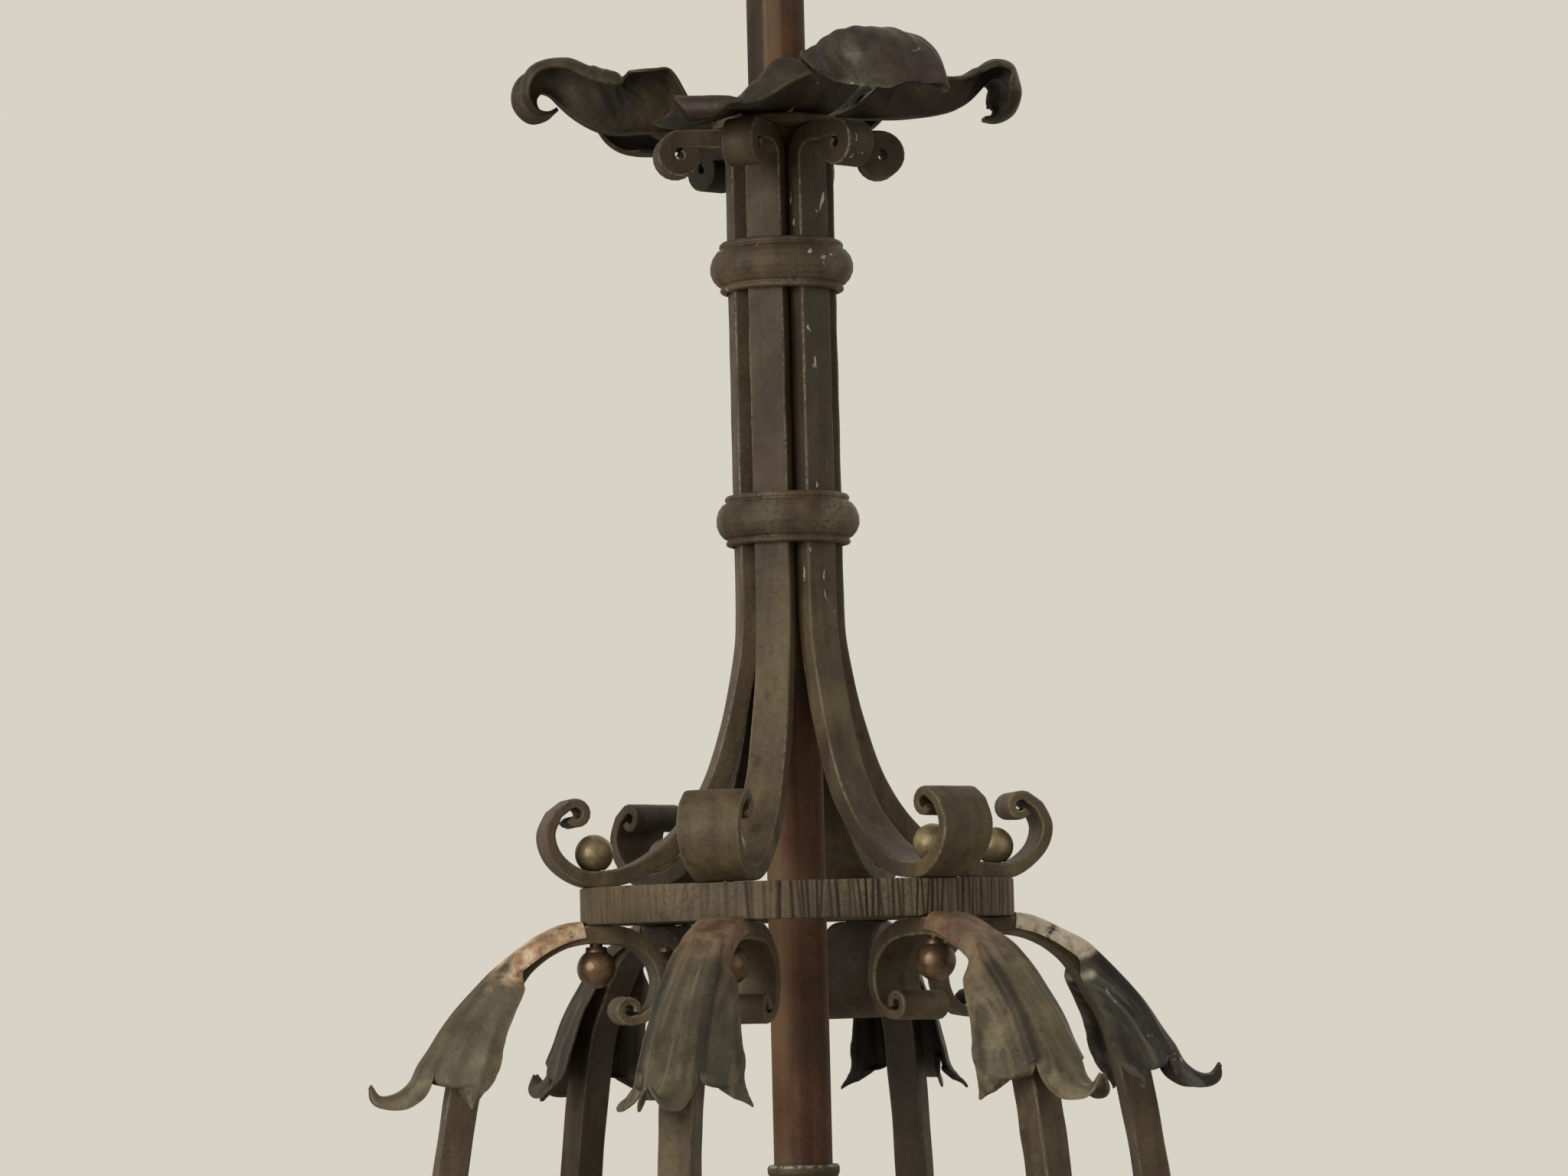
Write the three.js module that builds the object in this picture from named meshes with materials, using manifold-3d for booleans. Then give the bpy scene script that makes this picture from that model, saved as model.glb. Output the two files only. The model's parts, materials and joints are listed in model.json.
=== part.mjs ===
// Wrought iron cage chandelier with six arms, hung from a ceiling hook.
// Millimetres, Z up. The origin is the flat face of the ceiling plate.
import * as THREE from 'three';
import { mergeVertices } from 'three/addons/utils/BufferGeometryUtils.js';
import Module from 'manifold-3d';

const wasm = await Module();
wasm.setup();

// Driving dimensions
const ARMS = 6;
const STEP = (2 * Math.PI) / ARMS;
const FIT = 0.3;

const RING_TOP = -713;
const RING_H = 20;
const RING_R = 111;
const RING_T = 14;

const PIPE_R = 15.9;
const PIPE_WALL = 2.6;
const BAR_W = 20;
const BAR_T = 10.5;
const BAR_R = 23.2;
const BAR_TOP = 413;

const COLLAR_Z = [198.5, BAR_TOP - 75.3];
const COLLAR_H = 28;
const COLLAR_R = 39.3;
const COLLAR_BORE = 30.5;

const PLATE_Z = BAR_TOP + FIT;
const PLATE_T = 5;
const PLATE_R = 36;

const ARM_W = 18.5;
const ARM_T = 17;
const ARM_REACH = 200;

const BOLT_BALL = 10.7;
const NUT_BALL = 10.4;
const STUD_R = 3.5;
const STUD_HOLE = 3.8;

const LEAF_T = 1.8;
const ROSE_T = 2.2;

const COUPLING_TOP = -152;
const COUPLING_H = 44;
const COUPLING_R = 19.6;
const HUB_Z = -492;
const HUB_H = 26;
const HUB_FLAT = 33.6;
const CANDLE_R = 85;
const CANDLES = 3;
const CUP_SHELF = -347;
const SLEEVE_TOP = -246;

const HOOK_R = 13;
const HOOK_WIRE = 4;
const HOOK_Z = -30;
const LINK_WIRE = 3.5;
const LINK_LEN = 41;
const LOOP_R = 13;
const LOOP_WIRE = 4;

// Colours of the aged metals
const IRON = { color: 0x5b5748, metalness: 0.7, roughness: 0.6 };
const DARK = { color: 0x3b3b3a, metalness: 0.7, roughness: 0.55 };
const COPPER = { color: 0x7a4c33, metalness: 0.6, roughness: 0.5 };
const BRONZE = { color: 0x6e5a33, metalness: 0.8, roughness: 0.4 };
const LEAFY = { color: 0x5e5444, metalness: 0.6, roughness: 0.6 };
const IVORY = { color: 0xe4d8bd, metalness: 0, roughness: 0.6 };
const GLASS = { color: 0xf3ead8, metalness: 0, roughness: 0.15 };

const root = new THREE.Group();
root.name = 'wrought_iron_chandelier';

function add(name, geometry, look) {
  const mesh = new THREE.Mesh(geometry, new THREE.MeshStandardMaterial(look));
  mesh.name = name;
  root.add(mesh);
}

// Build one closed body from corner points and triangles, faces outward.
function body(points, triangles) {
  let volume = 0;
  for (const [a, b, c] of triangles) {
    volume += new THREE.Vector3().crossVectors(points[b], points[c]).dot(points[a]);
  }
  const geometry = new THREE.BufferGeometry();
  const xyz = new Float32Array(points.flatMap((p) => [p.x, p.y, p.z]));
  geometry.setAttribute('position', new THREE.BufferAttribute(xyz, 3));
  geometry.setIndex(triangles.flatMap(([a, b, c]) => (volume > 0 ? [a, b, c] : [a, c, b])));
  geometry.computeVertexNormals();
  return geometry;
}

// Smooth a list of rows of numbers into more rows along an even spline.
function smooth(rows, count) {
  const flat = rows.map(([r, z]) => new THREE.Vector3(r, 0, z));
  const curve = new THREE.CatmullRomCurve3(flat, false, 'centripetal');
  const last = rows.length - 1;
  const out = [];
  for (let i = 0; i <= count; i += 1) {
    const t = (i / count) * last;
    const k = Math.min(Math.floor(t), last - 1);
    const p = curve.getPoint(i / count);
    const row = rows[k].map((value, c) => value + (rows[k + 1][c] - value) * (t - k));
    row[0] = p.x;
    row[1] = p.z;
    out.push(row);
  }
  return out;
}

// Rows of a spiral in the radial plane, angles in degrees.
function spiral(r, z, from, to, radius, width, thick, count) {
  const out = [];
  for (let i = 0; i <= count; i += 1) {
    const k = i / count;
    const angle = ((from + (to - from) * k) * Math.PI) / 180;
    const reach = radius[0] + (radius[1] - radius[0]) * k;
    out.push([
      r + reach * Math.cos(angle),
      z + reach * Math.sin(angle),
      width[0] + (width[1] - width[0]) * k,
      thick[0] + (thick[1] - thick[0]) * k,
    ]);
  }
  return out;
}

// Unit direction of a row list at row i, in the radial plane.
function heading(rows, i) {
  const a = rows[Math.max(i - 1, 0)];
  const b = rows[Math.min(i + 1, rows.length - 1)];
  return new THREE.Vector2(b[0] - a[0], b[1] - a[1]).normalize();
}

// Forge a flat bar along rows of radius, height, width and thickness.
function forge(rows) {
  const points = [];
  const triangles = [];
  rows.forEach(([r, z, w, t], i) => {
    const d = heading(rows, i);
    for (const [side, face] of [[-1, -1], [1, -1], [1, 1], [-1, 1]]) {
      const out = (face * t) / 2;
      points.push(new THREE.Vector3(r - d.y * out, (side * w) / 2, z + d.x * out));
    }
    if (i > 0) {
      for (let k = 0; k < 4; k += 1) {
        const a = (i - 1) * 4 + k;
        const b = (i - 1) * 4 + ((k + 1) % 4);
        triangles.push([a, b, b + 4], [a, b + 4, a + 4]);
      }
    }
  });
  const end = points.length - 4;
  triangles.push([0, 2, 1], [0, 3, 2], [end, end + 1, end + 2], [end, end + 2, end + 3]);
  return body(points, triangles);
}

// Round wire along points in space, with flat ends or closed into a ring.
function wire(path, radius, closed, sides = 10) {
  const points = [];
  const triangles = [];
  const n = path.length;
  path.forEach((p, i) => {
    const before = closed ? path[(i + n - 1) % n] : path[Math.max(i - 1, 0)];
    const after = closed ? path[(i + 1) % n] : path[Math.min(i + 1, n - 1)];
    const d = new THREE.Vector3().subVectors(after, before).normalize();
    const flat = path.flatOut.clone();
    const up = new THREE.Vector3().crossVectors(d, flat).normalize();
    for (let k = 0; k < sides; k += 1) {
      const a = (k / sides) * 2 * Math.PI;
      const q = p.clone().addScaledVector(flat, radius * Math.cos(a));
      points.push(q.addScaledVector(up, radius * Math.sin(a)));
    }
  });
  const turns = closed ? n : n - 1;
  for (let i = 0; i < turns; i += 1) {
    for (let k = 0; k < sides; k += 1) {
      const a = i * sides + k;
      const b = i * sides + ((k + 1) % sides);
      const c = ((i + 1) % n) * sides + k;
      const e = ((i + 1) % n) * sides + ((k + 1) % sides);
      triangles.push([a, b, e], [a, e, c]);
    }
  }
  if (!closed) {
    const last = (n - 1) * sides;
    for (let k = 1; k < sides - 1; k += 1) {
      triangles.push([0, k + 1, k], [last, last + k, last + k + 1]);
    }
  }
  return body(points, triangles);
}

// Thick sheet over a grid of points; cells that are cut stay open.
function sheet(rows, cols, at, thick, isCut) {
  const mid = [];
  for (let i = 0; i <= rows; i += 1) {
    for (let j = 0; j <= cols; j += 1) {
      mid.push(at(i, j));
    }
  }
  const id = (i, j) => i * (cols + 1) + j;
  const kept = (i, j) => i >= 0 && j >= 0 && i < rows && j < cols && !isCut(i, j);
  const normals = mid.map(() => new THREE.Vector3());
  for (let i = 0; i < rows; i += 1) {
    for (let j = 0; j < cols; j += 1) {
      if (kept(i, j)) {
        const corners = [id(i, j), id(i + 1, j), id(i + 1, j + 1), id(i, j + 1)];
        const a = new THREE.Vector3().subVectors(mid[corners[2]], mid[corners[0]]);
        const b = new THREE.Vector3().subVectors(mid[corners[3]], mid[corners[1]]);
        const n = a.cross(b).normalize();
        corners.forEach((c) => normals[c].add(n));
      }
    }
  }
  const used = new Map();
  const points = [];
  const corner = (k, side) => {
    const key = k * 2 + side;
    if (!used.has(key)) {
      used.set(key, points.length);
      const n = normals[k].clone().normalize();
      points.push(mid[k].clone().addScaledVector(n, (side ? 0.5 : -0.5) * thick));
    }
    return used.get(key);
  };
  const triangles = [];
  const wall = (a, b) => {
    const [p, q, r, s] = [corner(a, 1), corner(b, 1), corner(b, 0), corner(a, 0)];
    triangles.push([p, s, r], [p, r, q]);
  };
  for (let i = 0; i < rows; i += 1) {
    for (let j = 0; j < cols; j += 1) {
      if (kept(i, j)) {
        const [a, b, c, d] = [id(i, j), id(i + 1, j), id(i + 1, j + 1), id(i, j + 1)];
        triangles.push([corner(a, 1), corner(b, 1), corner(c, 1)]);
        triangles.push([corner(a, 1), corner(c, 1), corner(d, 1)]);
        triangles.push([corner(a, 0), corner(c, 0), corner(b, 0)]);
        triangles.push([corner(a, 0), corner(d, 0), corner(c, 0)]);
        if (!kept(i, j - 1)) wall(a, b);
        if (!kept(i + 1, j)) wall(b, c);
        if (!kept(i, j + 1)) wall(c, d);
        if (!kept(i - 1, j)) wall(d, a);
      }
    }
  }
  return body(points, triangles);
}

// Turned piece from a profile of radius and height, about the Z axis.
function turned(profile, segments = 32) {
  const onAxis = profile[0][0] === 0;
  const pts = profile.map(([r, z]) => new THREE.Vector2(r, z));
  if (!onAxis) pts.push(pts[0].clone());
  const geometry = new THREE.LatheGeometry(pts, segments);
  geometry.rotateX(Math.PI / 2);
  geometry.deleteAttribute('normal');
  geometry.deleteAttribute('uv');
  const merged = mergeVertices(geometry, 1e-4);
  const xyz = merged.getAttribute('position');
  const points = [];
  for (let i = 0; i < xyz.count; i += 1) {
    points.push(new THREE.Vector3().fromBufferAttribute(xyz, i));
  }
  const triangles = [];
  const index = merged.getIndex().array;
  for (let i = 0; i < index.length; i += 3) {
    const [a, b, c] = [index[i], index[i + 1], index[i + 2]];
    if (a !== b && b !== c && c !== a) triangles.push([a, b, c]);
  }
  return body(points, triangles);
}

function toSolid(geometry) {
  const clean = geometry.clone();
  clean.deleteAttribute('normal');
  clean.deleteAttribute('uv');
  const merged = mergeVertices(clean, 1e-4);
  return new wasm.Manifold(new wasm.Mesh({
    numProp: 3,
    vertProperties: new Float32Array(merged.getAttribute('position').array),
    triVerts: new Uint32Array(merged.getIndex().array),
  }));
}

function fromSolid(solid) {
  const mesh = solid.getMesh();
  const geometry = new THREE.BufferGeometry();
  geometry.setAttribute('position', new THREE.BufferAttribute(mesh.vertProperties, 3));
  geometry.setIndex(new THREE.BufferAttribute(mesh.triVerts, 1));
  geometry.computeVertexNormals();
  return geometry;
}

function rod(radius, bottom, top, segments = 16) {
  return turned([[0, bottom], [radius, bottom], [radius, top], [0, top]], segments);
}

// Drill a plain hole up through a piece at a distance from the axis.
function drill(geometry, distance, bottom, top) {
  const hole = rod(STUD_HOLE, bottom, top, 14);
  hole.translate(distance, 0, 0);
  return fromSolid(toSolid(geometry).subtract(toSolid(hole)));
}

// Put one copy of a piece at each arm, lifted to the ring's height.
function around(name, geometry, look, lift = RING_TOP, count = ARMS, start = 0) {
  for (let k = 0; k < count; k += 1) {
    const copy = geometry.clone();
    copy.translate(0, 0, lift);
    copy.rotateZ(start + (k * 2 * Math.PI) / count);
    add(`${name}_${k + 1}`, copy, look);
  }
}

function lifted(geometry, lift = RING_TOP) {
  const copy = geometry.clone();
  copy.translate(0, 0, lift);
  return copy;
}

// Stem bars: top curl, straight run beside the pipe, flare and lower scroll
const curlZ = BAR_TOP - 14;
const topCurl = spiral(56, curlZ, -190, 90, [8, 8.8], [18, 18], [8.8, 10.4], 8);
const topBend = spiral(BAR_R + 12, curlZ - 3.2, 90, 180, [12, 12], [19, BAR_W], [BAR_T, BAR_T], 5);
const stemFlare = smooth([
  [BAR_R, 150, BAR_W, BAR_T],
  [24.2, 132, BAR_W, BAR_T],
  [27.4, 112, BAR_W, BAR_T],
  [34.4, 82.3, 20.5, 10.5],
  [43.5, 56, 21.5, 10.3],
  [RING_R - 56, 36.5, 23, 10],
  [RING_R - 42, 21.5, 25, 9.6],
  [RING_R - 27, 11, 27, 9.3],
  [RING_R - 14, 5.9, 29, 9],
  [RING_R - 5, 4.75, 30, 9],
  [RING_R + 5, 4.75, 31, 8.6],
  [RING_R + 14.8, 9, 32.5, 7.4],
  [RING_R + 23.4, 17.8, 34, 6.4],
  [RING_R + 26.2, 29, 35, 5.8],
  [RING_R + 22, 39.6, 35, 5.4],
], 20);
const stemEye = spiral(RING_R + 11.8, 39.4, 62, 325, [6.4, 4.2], [35, 35], [5.2, 4.2], 8);
const stemRows = [...topCurl, ...topBend, ...stemFlare, ...stemEye];
const stemBar = drill(forge(stemRows), RING_R, -4, 16);
around('stem_bar', stemBar, IRON);

// Collars shrunk round the six bars
const collar = turned([
  [COLLAR_BORE, -COLLAR_H / 2],
  [33, -COLLAR_H / 2],
  [33, -COLLAR_H / 2 + 3],
  [37, -COLLAR_H / 2 + 6],
  [COLLAR_R, -3.5],
  [COLLAR_R, 3.5],
  [37, COLLAR_H / 2 - 6],
  [33, COLLAR_H / 2 - 3],
  [33, COLLAR_H / 2],
  [COLLAR_BORE, COLLAR_H / 2],
], 30);
add('lower_collar', lifted(collar, RING_TOP + COLLAR_Z[0]), IRON);
add('upper_collar', lifted(collar, RING_TOP + COLLAR_Z[1]), IRON);

// Hoop with a stud hole at each arm
let hoop = toSolid(turned([
  [RING_R - RING_T / 2, -RING_H],
  [RING_R + RING_T / 2, -RING_H],
  [RING_R + RING_T / 2, 0],
  [RING_R - RING_T / 2, 0],
], 60));
for (let k = 0; k < ARMS; k += 1) {
  const hole = rod(STUD_HOLE, -RING_H - 2, 2, 14);
  hole.translate(RING_R, 0, 0);
  hole.rotateZ(k * STEP);
  hoop = hoop.subtract(toSolid(hole));
}
add('hammered_ring', lifted(fromSolid(hoop)), IRON);

// Arms: inner roll, arch under the hoop, bow down to the bottom hub
const armRoll = spiral(RING_R - 15.4, -66, 200, -95, [4.2, 6], [33, 33], [4.2, 5], 8);
const armSpan = (ARM_REACH - RING_R) / 89;
const outside = ([x, ...rest]) => [RING_R + (x > 0 ? x * armSpan : x), ...rest];
const armRun = smooth([
  ...[
    [-22.6, -70.6, 33, 5],
    [-29.5, -65.4, 33, 5.2],
    [-33.4, -54, 33, 5.6],
    [-31.8, -41.5, 32.5, 6.6],
    [-24, -31.5, 31.5, 8],
    [-14, -26.6, 30, 9.6],
    [-6, -25.5, 29, 10.4],
    [6, -25.7, 27, 10.8],
    [17, -28.6, 24, 12.2],
    [28, -35, 21, 14],
    [38.4, -42.8, 19.4, 15.6],
    [47.8, -51.4, ARM_W, 16.6],
    [56.4, -60.6, ARM_W, ARM_T],
    [63, -70.6, ARM_W, ARM_T],
    [68.2, -84, ARM_W, ARM_T],
    [72.8, -102, ARM_W, ARM_T],
    [77.6, -127, ARM_W, ARM_T],
    [82.4, -157, ARM_W, ARM_T],
    [86.6, -190, ARM_W, ARM_T],
  ].map(outside),
  [ARM_REACH, -226, ARM_W, ARM_T],
  [ARM_REACH - 1, -264, ARM_W, ARM_T],
  [193, -304, ARM_W, ARM_T],
  [181, -344, ARM_W, ARM_T],
  [162, -384, ARM_W, ARM_T],
  [136, -422, ARM_W, ARM_T],
  [104, -456, ARM_W, ARM_T],
  [74, -478, ARM_W, ARM_T],
  [52, -490, ARM_W, ARM_T],
  [42, HUB_Z, ARM_W, ARM_T],
  [HUB_FLAT + FIT, HUB_Z, ARM_W, ARM_T],
], 38);
const armRows = [...armRoll, ...armRun];
const arm = drill(forge(armRows), RING_R, -36, -14);
around('arm', arm, IRON);

// Ball-headed bolts from below and ball nuts on top of the scrolls
const nutBase = 4.75 + 4.5 + FIT;
const nutMid = nutBase + NUT_BALL - 1.6;
const boltBase = -25.6 - 5.4 - 3 * FIT;
const boltMid = boltBase - BOLT_BALL - 1;
const NECK = 5.4;
function ballSide(radius, mid, from, to, count) {
  const out = [];
  for (let i = 0; i <= count; i += 1) {
    const a = ((from + ((to - from) * i) / count) * Math.PI) / 180;
    out.push([radius * Math.cos(a), mid + radius * Math.sin(a)]);
  }
  return out;
}
const nut = turned([
  [0, nutMid + 3],
  [STUD_HOLE, nutMid + 3],
  [STUD_HOLE, nutBase],
  [NECK, nutBase],
  ...ballSide(NUT_BALL, nutMid, -52, 70, 5),
  [0, nutMid + NUT_BALL],
], 12);
const bolt = turned([
  [0, nutMid + 2],
  [STUD_R, nutMid + 2],
  [STUD_R, boltBase],
  [NECK, boltBase],
  ...ballSide(BOLT_BALL, boltMid, 58, -70, 5),
  [0, boltMid - BOLT_BALL],
], 12);
nut.translate(RING_R, 0, 0);
bolt.translate(RING_R, 0, 0);
around('ball_nut', nut, BRONZE);
around('ball_bolt', bolt, BRONZE);

// Arm leaves: a sheet folded over the arm that splits into three lobes.
// Rows: radius out from the hoop, height, half width, half width of the middle lobe, fold in degrees.
const LEAF_ROWS = 13;
const LEAF_COLS = 10;
const LEAF_SPLIT = 8;
const ridgeRows = smooth([
  [8.6, -18.8, 12, 4, 0],
  [18.4, -20.6, 16, 6.5, 4],
  [30, -25.4, 20, 9, 12],
  [42.4, -33.4, 23, 11, 42],
  [54.2, -43, 27, 12, 58],
  [65.4, -53.4, 34, 13, 61],
  [75.6, -64.4, 41, 14, 62],
  [84, -75.6, 44, 15, 62],
  [92, -87.4, 45, 18, 60],
  [100.4, -98.6, 43, 21, 58],
  [110, -106.6, 38, 21, 54],
  [118.6, -108.4, 32, 16, 50],
  [123.6, -103.4, 26, 6.5, 46],
].map(outside), LEAF_ROWS);
const seamRows = smooth([
  [8.6, -18.8],
  [18.4, -20.6],
  [30, -25.4],
  [42.4, -33.4],
  [54.2, -43],
  [65.4, -53.4],
  [75.4, -64.6],
  [82.4, -75.8],
  [86.4, -87.4],
  [88.8, -98],
  [89.4, -107],
  [87.8, -114.4],
  [84.4, -119.4],
].map(outside), LEAF_ROWS);
function folded(u, turn) {
  const flat = 7;
  const bend = 6.5;
  const over = Math.max(Math.abs(u) - flat, 0);
  const angle = Math.min(over / bend, turn);
  const rest = Math.max(over - bend * turn, 0);
  const x = Math.min(Math.abs(u), flat) + bend * Math.sin(angle) + rest * Math.cos(turn);
  const y = -bend * (1 - Math.cos(angle)) - rest * Math.sin(turn);
  return [Math.sign(u) * x, y];
}
// Cross-section of the middle lobe: a trough that opens towards the arm.
function cupped(u, half) {
  const reach = Math.max(half * 0.68, 3);
  const angle = u / reach;
  return [reach * Math.sin(angle), -reach * (1 - Math.cos(angle))];
}
function leafPoint(i, j) {
  const middle = j >= 3 && j <= 7;
  const rows = middle ? ridgeRows : seamRows;
  const [r, z] = rows[i];
  const [, , half, seam, fold] = ridgeRows[i];
  const turn = (fold * Math.PI) / 180;
  const past = Math.max(i - LEAF_SPLIT, 0) / (LEAF_ROWS - LEAF_SPLIT);
  const side = Math.sign(j - 5);
  const d = heading(rows, i);
  let x = 0;
  let y = 0;
  if (middle && past > 0) {
    [x, y] = cupped(((j - 5) / 2) * seam, seam);
  } else if (middle) {
    [x, y] = folded(((j - 5) / 2) * seam, turn);
  } else {
    const k = (Math.abs(j - 5) - 3) / 2;
    const inner = ridgeRows[Math.min(i, LEAF_SPLIT)][3] + 2 + 5 * past * past;
    [x, y] = folded(side * (inner + (half - inner) * k), turn);
    x += side * 5 * past * past;
  }
  return new THREE.Vector3(r - d.y * y, x, z + d.x * y);
}
const armLeaf = sheet(LEAF_ROWS, LEAF_COLS, leafPoint, LEAF_T, (i, j) => (
  i >= LEAF_SPLIT && (j === 2 || j === 7)
));
around('arm_leaf', armLeaf, LEAFY);

// Rosette: a round plate on the bars' curls with six turned-down leaves
add('rosette_plate', lifted(turned([
  [PIPE_R + FIT, PLATE_Z],
  [PLATE_R, PLATE_Z],
  [PLATE_R, PLATE_Z + PLATE_T - 1.5],
  [PLATE_R - 1.5, PLATE_Z + PLATE_T],
  [PIPE_R + FIT, PLATE_Z + PLATE_T],
], 30)), IRON);

// Rosette leaf rows: radius, rise, half width along the sheet, slope of the raised side
// and slope of the edge in degrees. Four ways in which the smith bent the leaves.
const ROSE_ROWS = 17;
const ROSE_COLS = 8;
const ROSE_STEPS = 24;
const roseBase = PLATE_Z + PLATE_T + FIT + ROSE_T / 2;
const ROLLED = [
  [19.5, 0, 9, 0, 0],
  [31, 0.2, 13, 8, 5],
  [44, 1.5, 20, 20, 15],
  [56, 1.5, 33, 48, 30],
  [67, 1.5, 42, 62, 0],
  [78, 2.5, 42, 64, -20],
  [89, 4, 33, 60, 0],
  [99, 6.5, 34, 58, -15],
  [107, 11, 33, 54, -25],
  [114, 18, 30, 44, -28],
  [120, 24.5, 27, 26, -22],
  [127, 26, 25, 10, -15],
  [132.5, 21, 23, 0, -10],
  [135.5, 12.5, 21, -6, -10],
  [132, 4.5, 17, -6, -10],
  [124, 0.5, 10, 0, -5],
  [114, -1, 3, 0, 0],
];
const ARCHED = [
  [19.5, 0, 9, 0, 0],
  [31, 0, 13, 8, 5],
  [37, 0, 15, 10, 8],
  [44, -1.6, 19, 18, 14],
  [51, -3.2, 24, 36, 24],
  [59, -4.8, 42, 72, 24],
  [68, -6.3, 48, 78, 0],
  [78, -7.5, 50, 82, -10],
  [88, -8.4, 42, 80, 20],
  [98, -7, 49, 80, -30],
  [107, -3, 55, 79, -54],
  [115, 2.5, 54, 76, -60],
  [121, 8, 49, 70, -60],
  [126.5, 13, 41, 63, -52],
  [131.5, 14, 34, 57, -44],
  [134.5, 10, 28, 50, -36],
  [133, 4.5, 20, 38, -28],
  [127.5, 3, 11, 20, -10],
  [122.5, 5, 2.5, 0, 0],
];
const RAISED = [
  [19.5, 0, 9, 0, 0],
  [30, 0.6, 14, 8, 5],
  [40, 6, 21, 22, 12],
  [49, 13, 27, 30, 14],
  [57, 21, 33, 26, 0],
  [65, 29, 41, 18, -38],
  [74, 35, 49, 9, -76],
  [84, 38.5, 55, 0, -96],
  [94, 39.5, 58, -4, -98],
  [103, 38, 53, -8, -96],
  [110, 34.5, 42, -12, -92],
  [115, 30, 30, -14, -84],
  [118, 26.5, 17, -10, -56],
  [119.5, 24.5, 9, -6, -28],
  [121, 23.5, 2.5, 0, 0],
];
const LEVEL = [
  [19.5, 0, 9, 0, 0],
  [31, 0, 13, 8, 5],
  [37, 0, 15, 12, 8],
  [44, -1, 20, 26, 18],
  [54, -2, 33, 52, 20],
  [64, -3.2, 43, 64, -25],
  [74, -4.6, 45, 64, -60],
  [83, -6, 35, 50, -50],
  [92, -7.2, 27, 30, -20],
  [102, -7.8, 23, 10, -20],
  [111, -6, 21, 0, -30],
  [118, -5, 18, -8, -35],
  [122, -8, 15, -10, -35],
  [122, -13, 10, -8, -20],
  [117.5, -15, 3, 0, 0],
];
// Each leaf: its rows, how far the tip is lifted, how much each side is bent, and how far
// the tip swings to the side.
const ROSETTE = [
  [ROLLED, 0, 1, 1, 0],
  [ROLLED, 8, 1, 1, 4],
  [ROLLED, -3, 0.8, 0.8, -3],
  [ARCHED, 0, 1, 1, 0],
  [LEVEL, 0, -0.3, 1, 2],
  [RAISED, 0, 1, 1.2, 20],
];
function eased(x) {
  const c = Math.min(Math.max(x, 0), 1);
  return c * c * (3 - 2 * c);
}
// Half a cross-section: it turns up beside the keel and then rolls over to the edge.
function roseSide(t, half, raised, edge, [from, over]) {
  let [x, y] = [0, 0];
  for (let k = 0; k < Math.round(ROSE_STEPS * t); k += 1) {
    const s = (k + 0.5) / ROSE_STEPS;
    const slope = raised * eased(s / 0.3) + (edge - raised) * eased((s - from) / over);
    x += (half / ROSE_STEPS) * Math.cos((slope * Math.PI) / 180);
    y += (half / ROSE_STEPS) * Math.sin((slope * Math.PI) / 180);
  }
  return [x, y];
}
ROSETTE.forEach(([form, lift, left, right, swing], k) => {
  const rows = smooth(form, ROSE_ROWS);
  const roll = form === RAISED ? [0.28, 0.5] : [0.42, 0.58];
  const at = (i, j) => {
    const [r, rise, half, raised, edge] = rows[i];
    const v = (2 * j) / ROSE_COLS - 1;
    const bend = 1 + ((v < 0 ? left : right) - 1) * Math.min(Math.max((r - 36) / 8, 0), 1);
    const [x, y] = roseSide(Math.abs(v), half, raised * bend, edge * bend, roll);
    const d = form === RAISED ? new THREE.Vector2(1, 0) : heading(rows, i);
    const far = Math.min(Math.max((r - 40) / 60, 0), 1);
    const swung = swing * Math.min(Math.max((r - 100) / 20, 0), 1) ** 2;
    return new THREE.Vector3(
      r - d.y * y,
      Math.sign(v) * x + swung,
      roseBase + rise + lift * far + d.x * y,
    );
  };
  const leaf = sheet(ROSE_ROWS, ROSE_COLS, at, ROSE_T, () => false);
  leaf.translate(0, 0, RING_TOP);
  leaf.rotateZ(k * STEP);
  add(`rosette_leaf_${k + 1}`, leaf, LEAFY);
});

// Pipes and the coupling that joins them
function tube(bottom, top) {
  return turned([
    [PIPE_R - PIPE_WALL, bottom],
    [PIPE_R, bottom],
    [PIPE_R, top],
    [PIPE_R - PIPE_WALL, top],
  ], 28);
}
const ROD_TOP = -106.4;
const PIPE_FOOT = RING_TOP + COUPLING_TOP - COUPLING_H / 2;
const HUB_FOOT = RING_TOP + HUB_Z - HUB_H / 2;
add('centre_pipe', tube(PIPE_FOOT, ROD_TOP), COPPER);
add('lower_pipe', tube(HUB_FOOT, PIPE_FOOT - FIT), COPPER);
const socketTop = RING_TOP + COUPLING_TOP;
add('pipe_coupling', turned([
  [PIPE_R + FIT, socketTop - COUPLING_H],
  [COUPLING_R - 1, socketTop - COUPLING_H],
  [COUPLING_R, socketTop - COUPLING_H + 1],
  [COUPLING_R, socketTop - 1],
  [COUPLING_R - 1, socketTop],
  [PIPE_R + FIT, socketTop],
], 28), COPPER);

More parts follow.
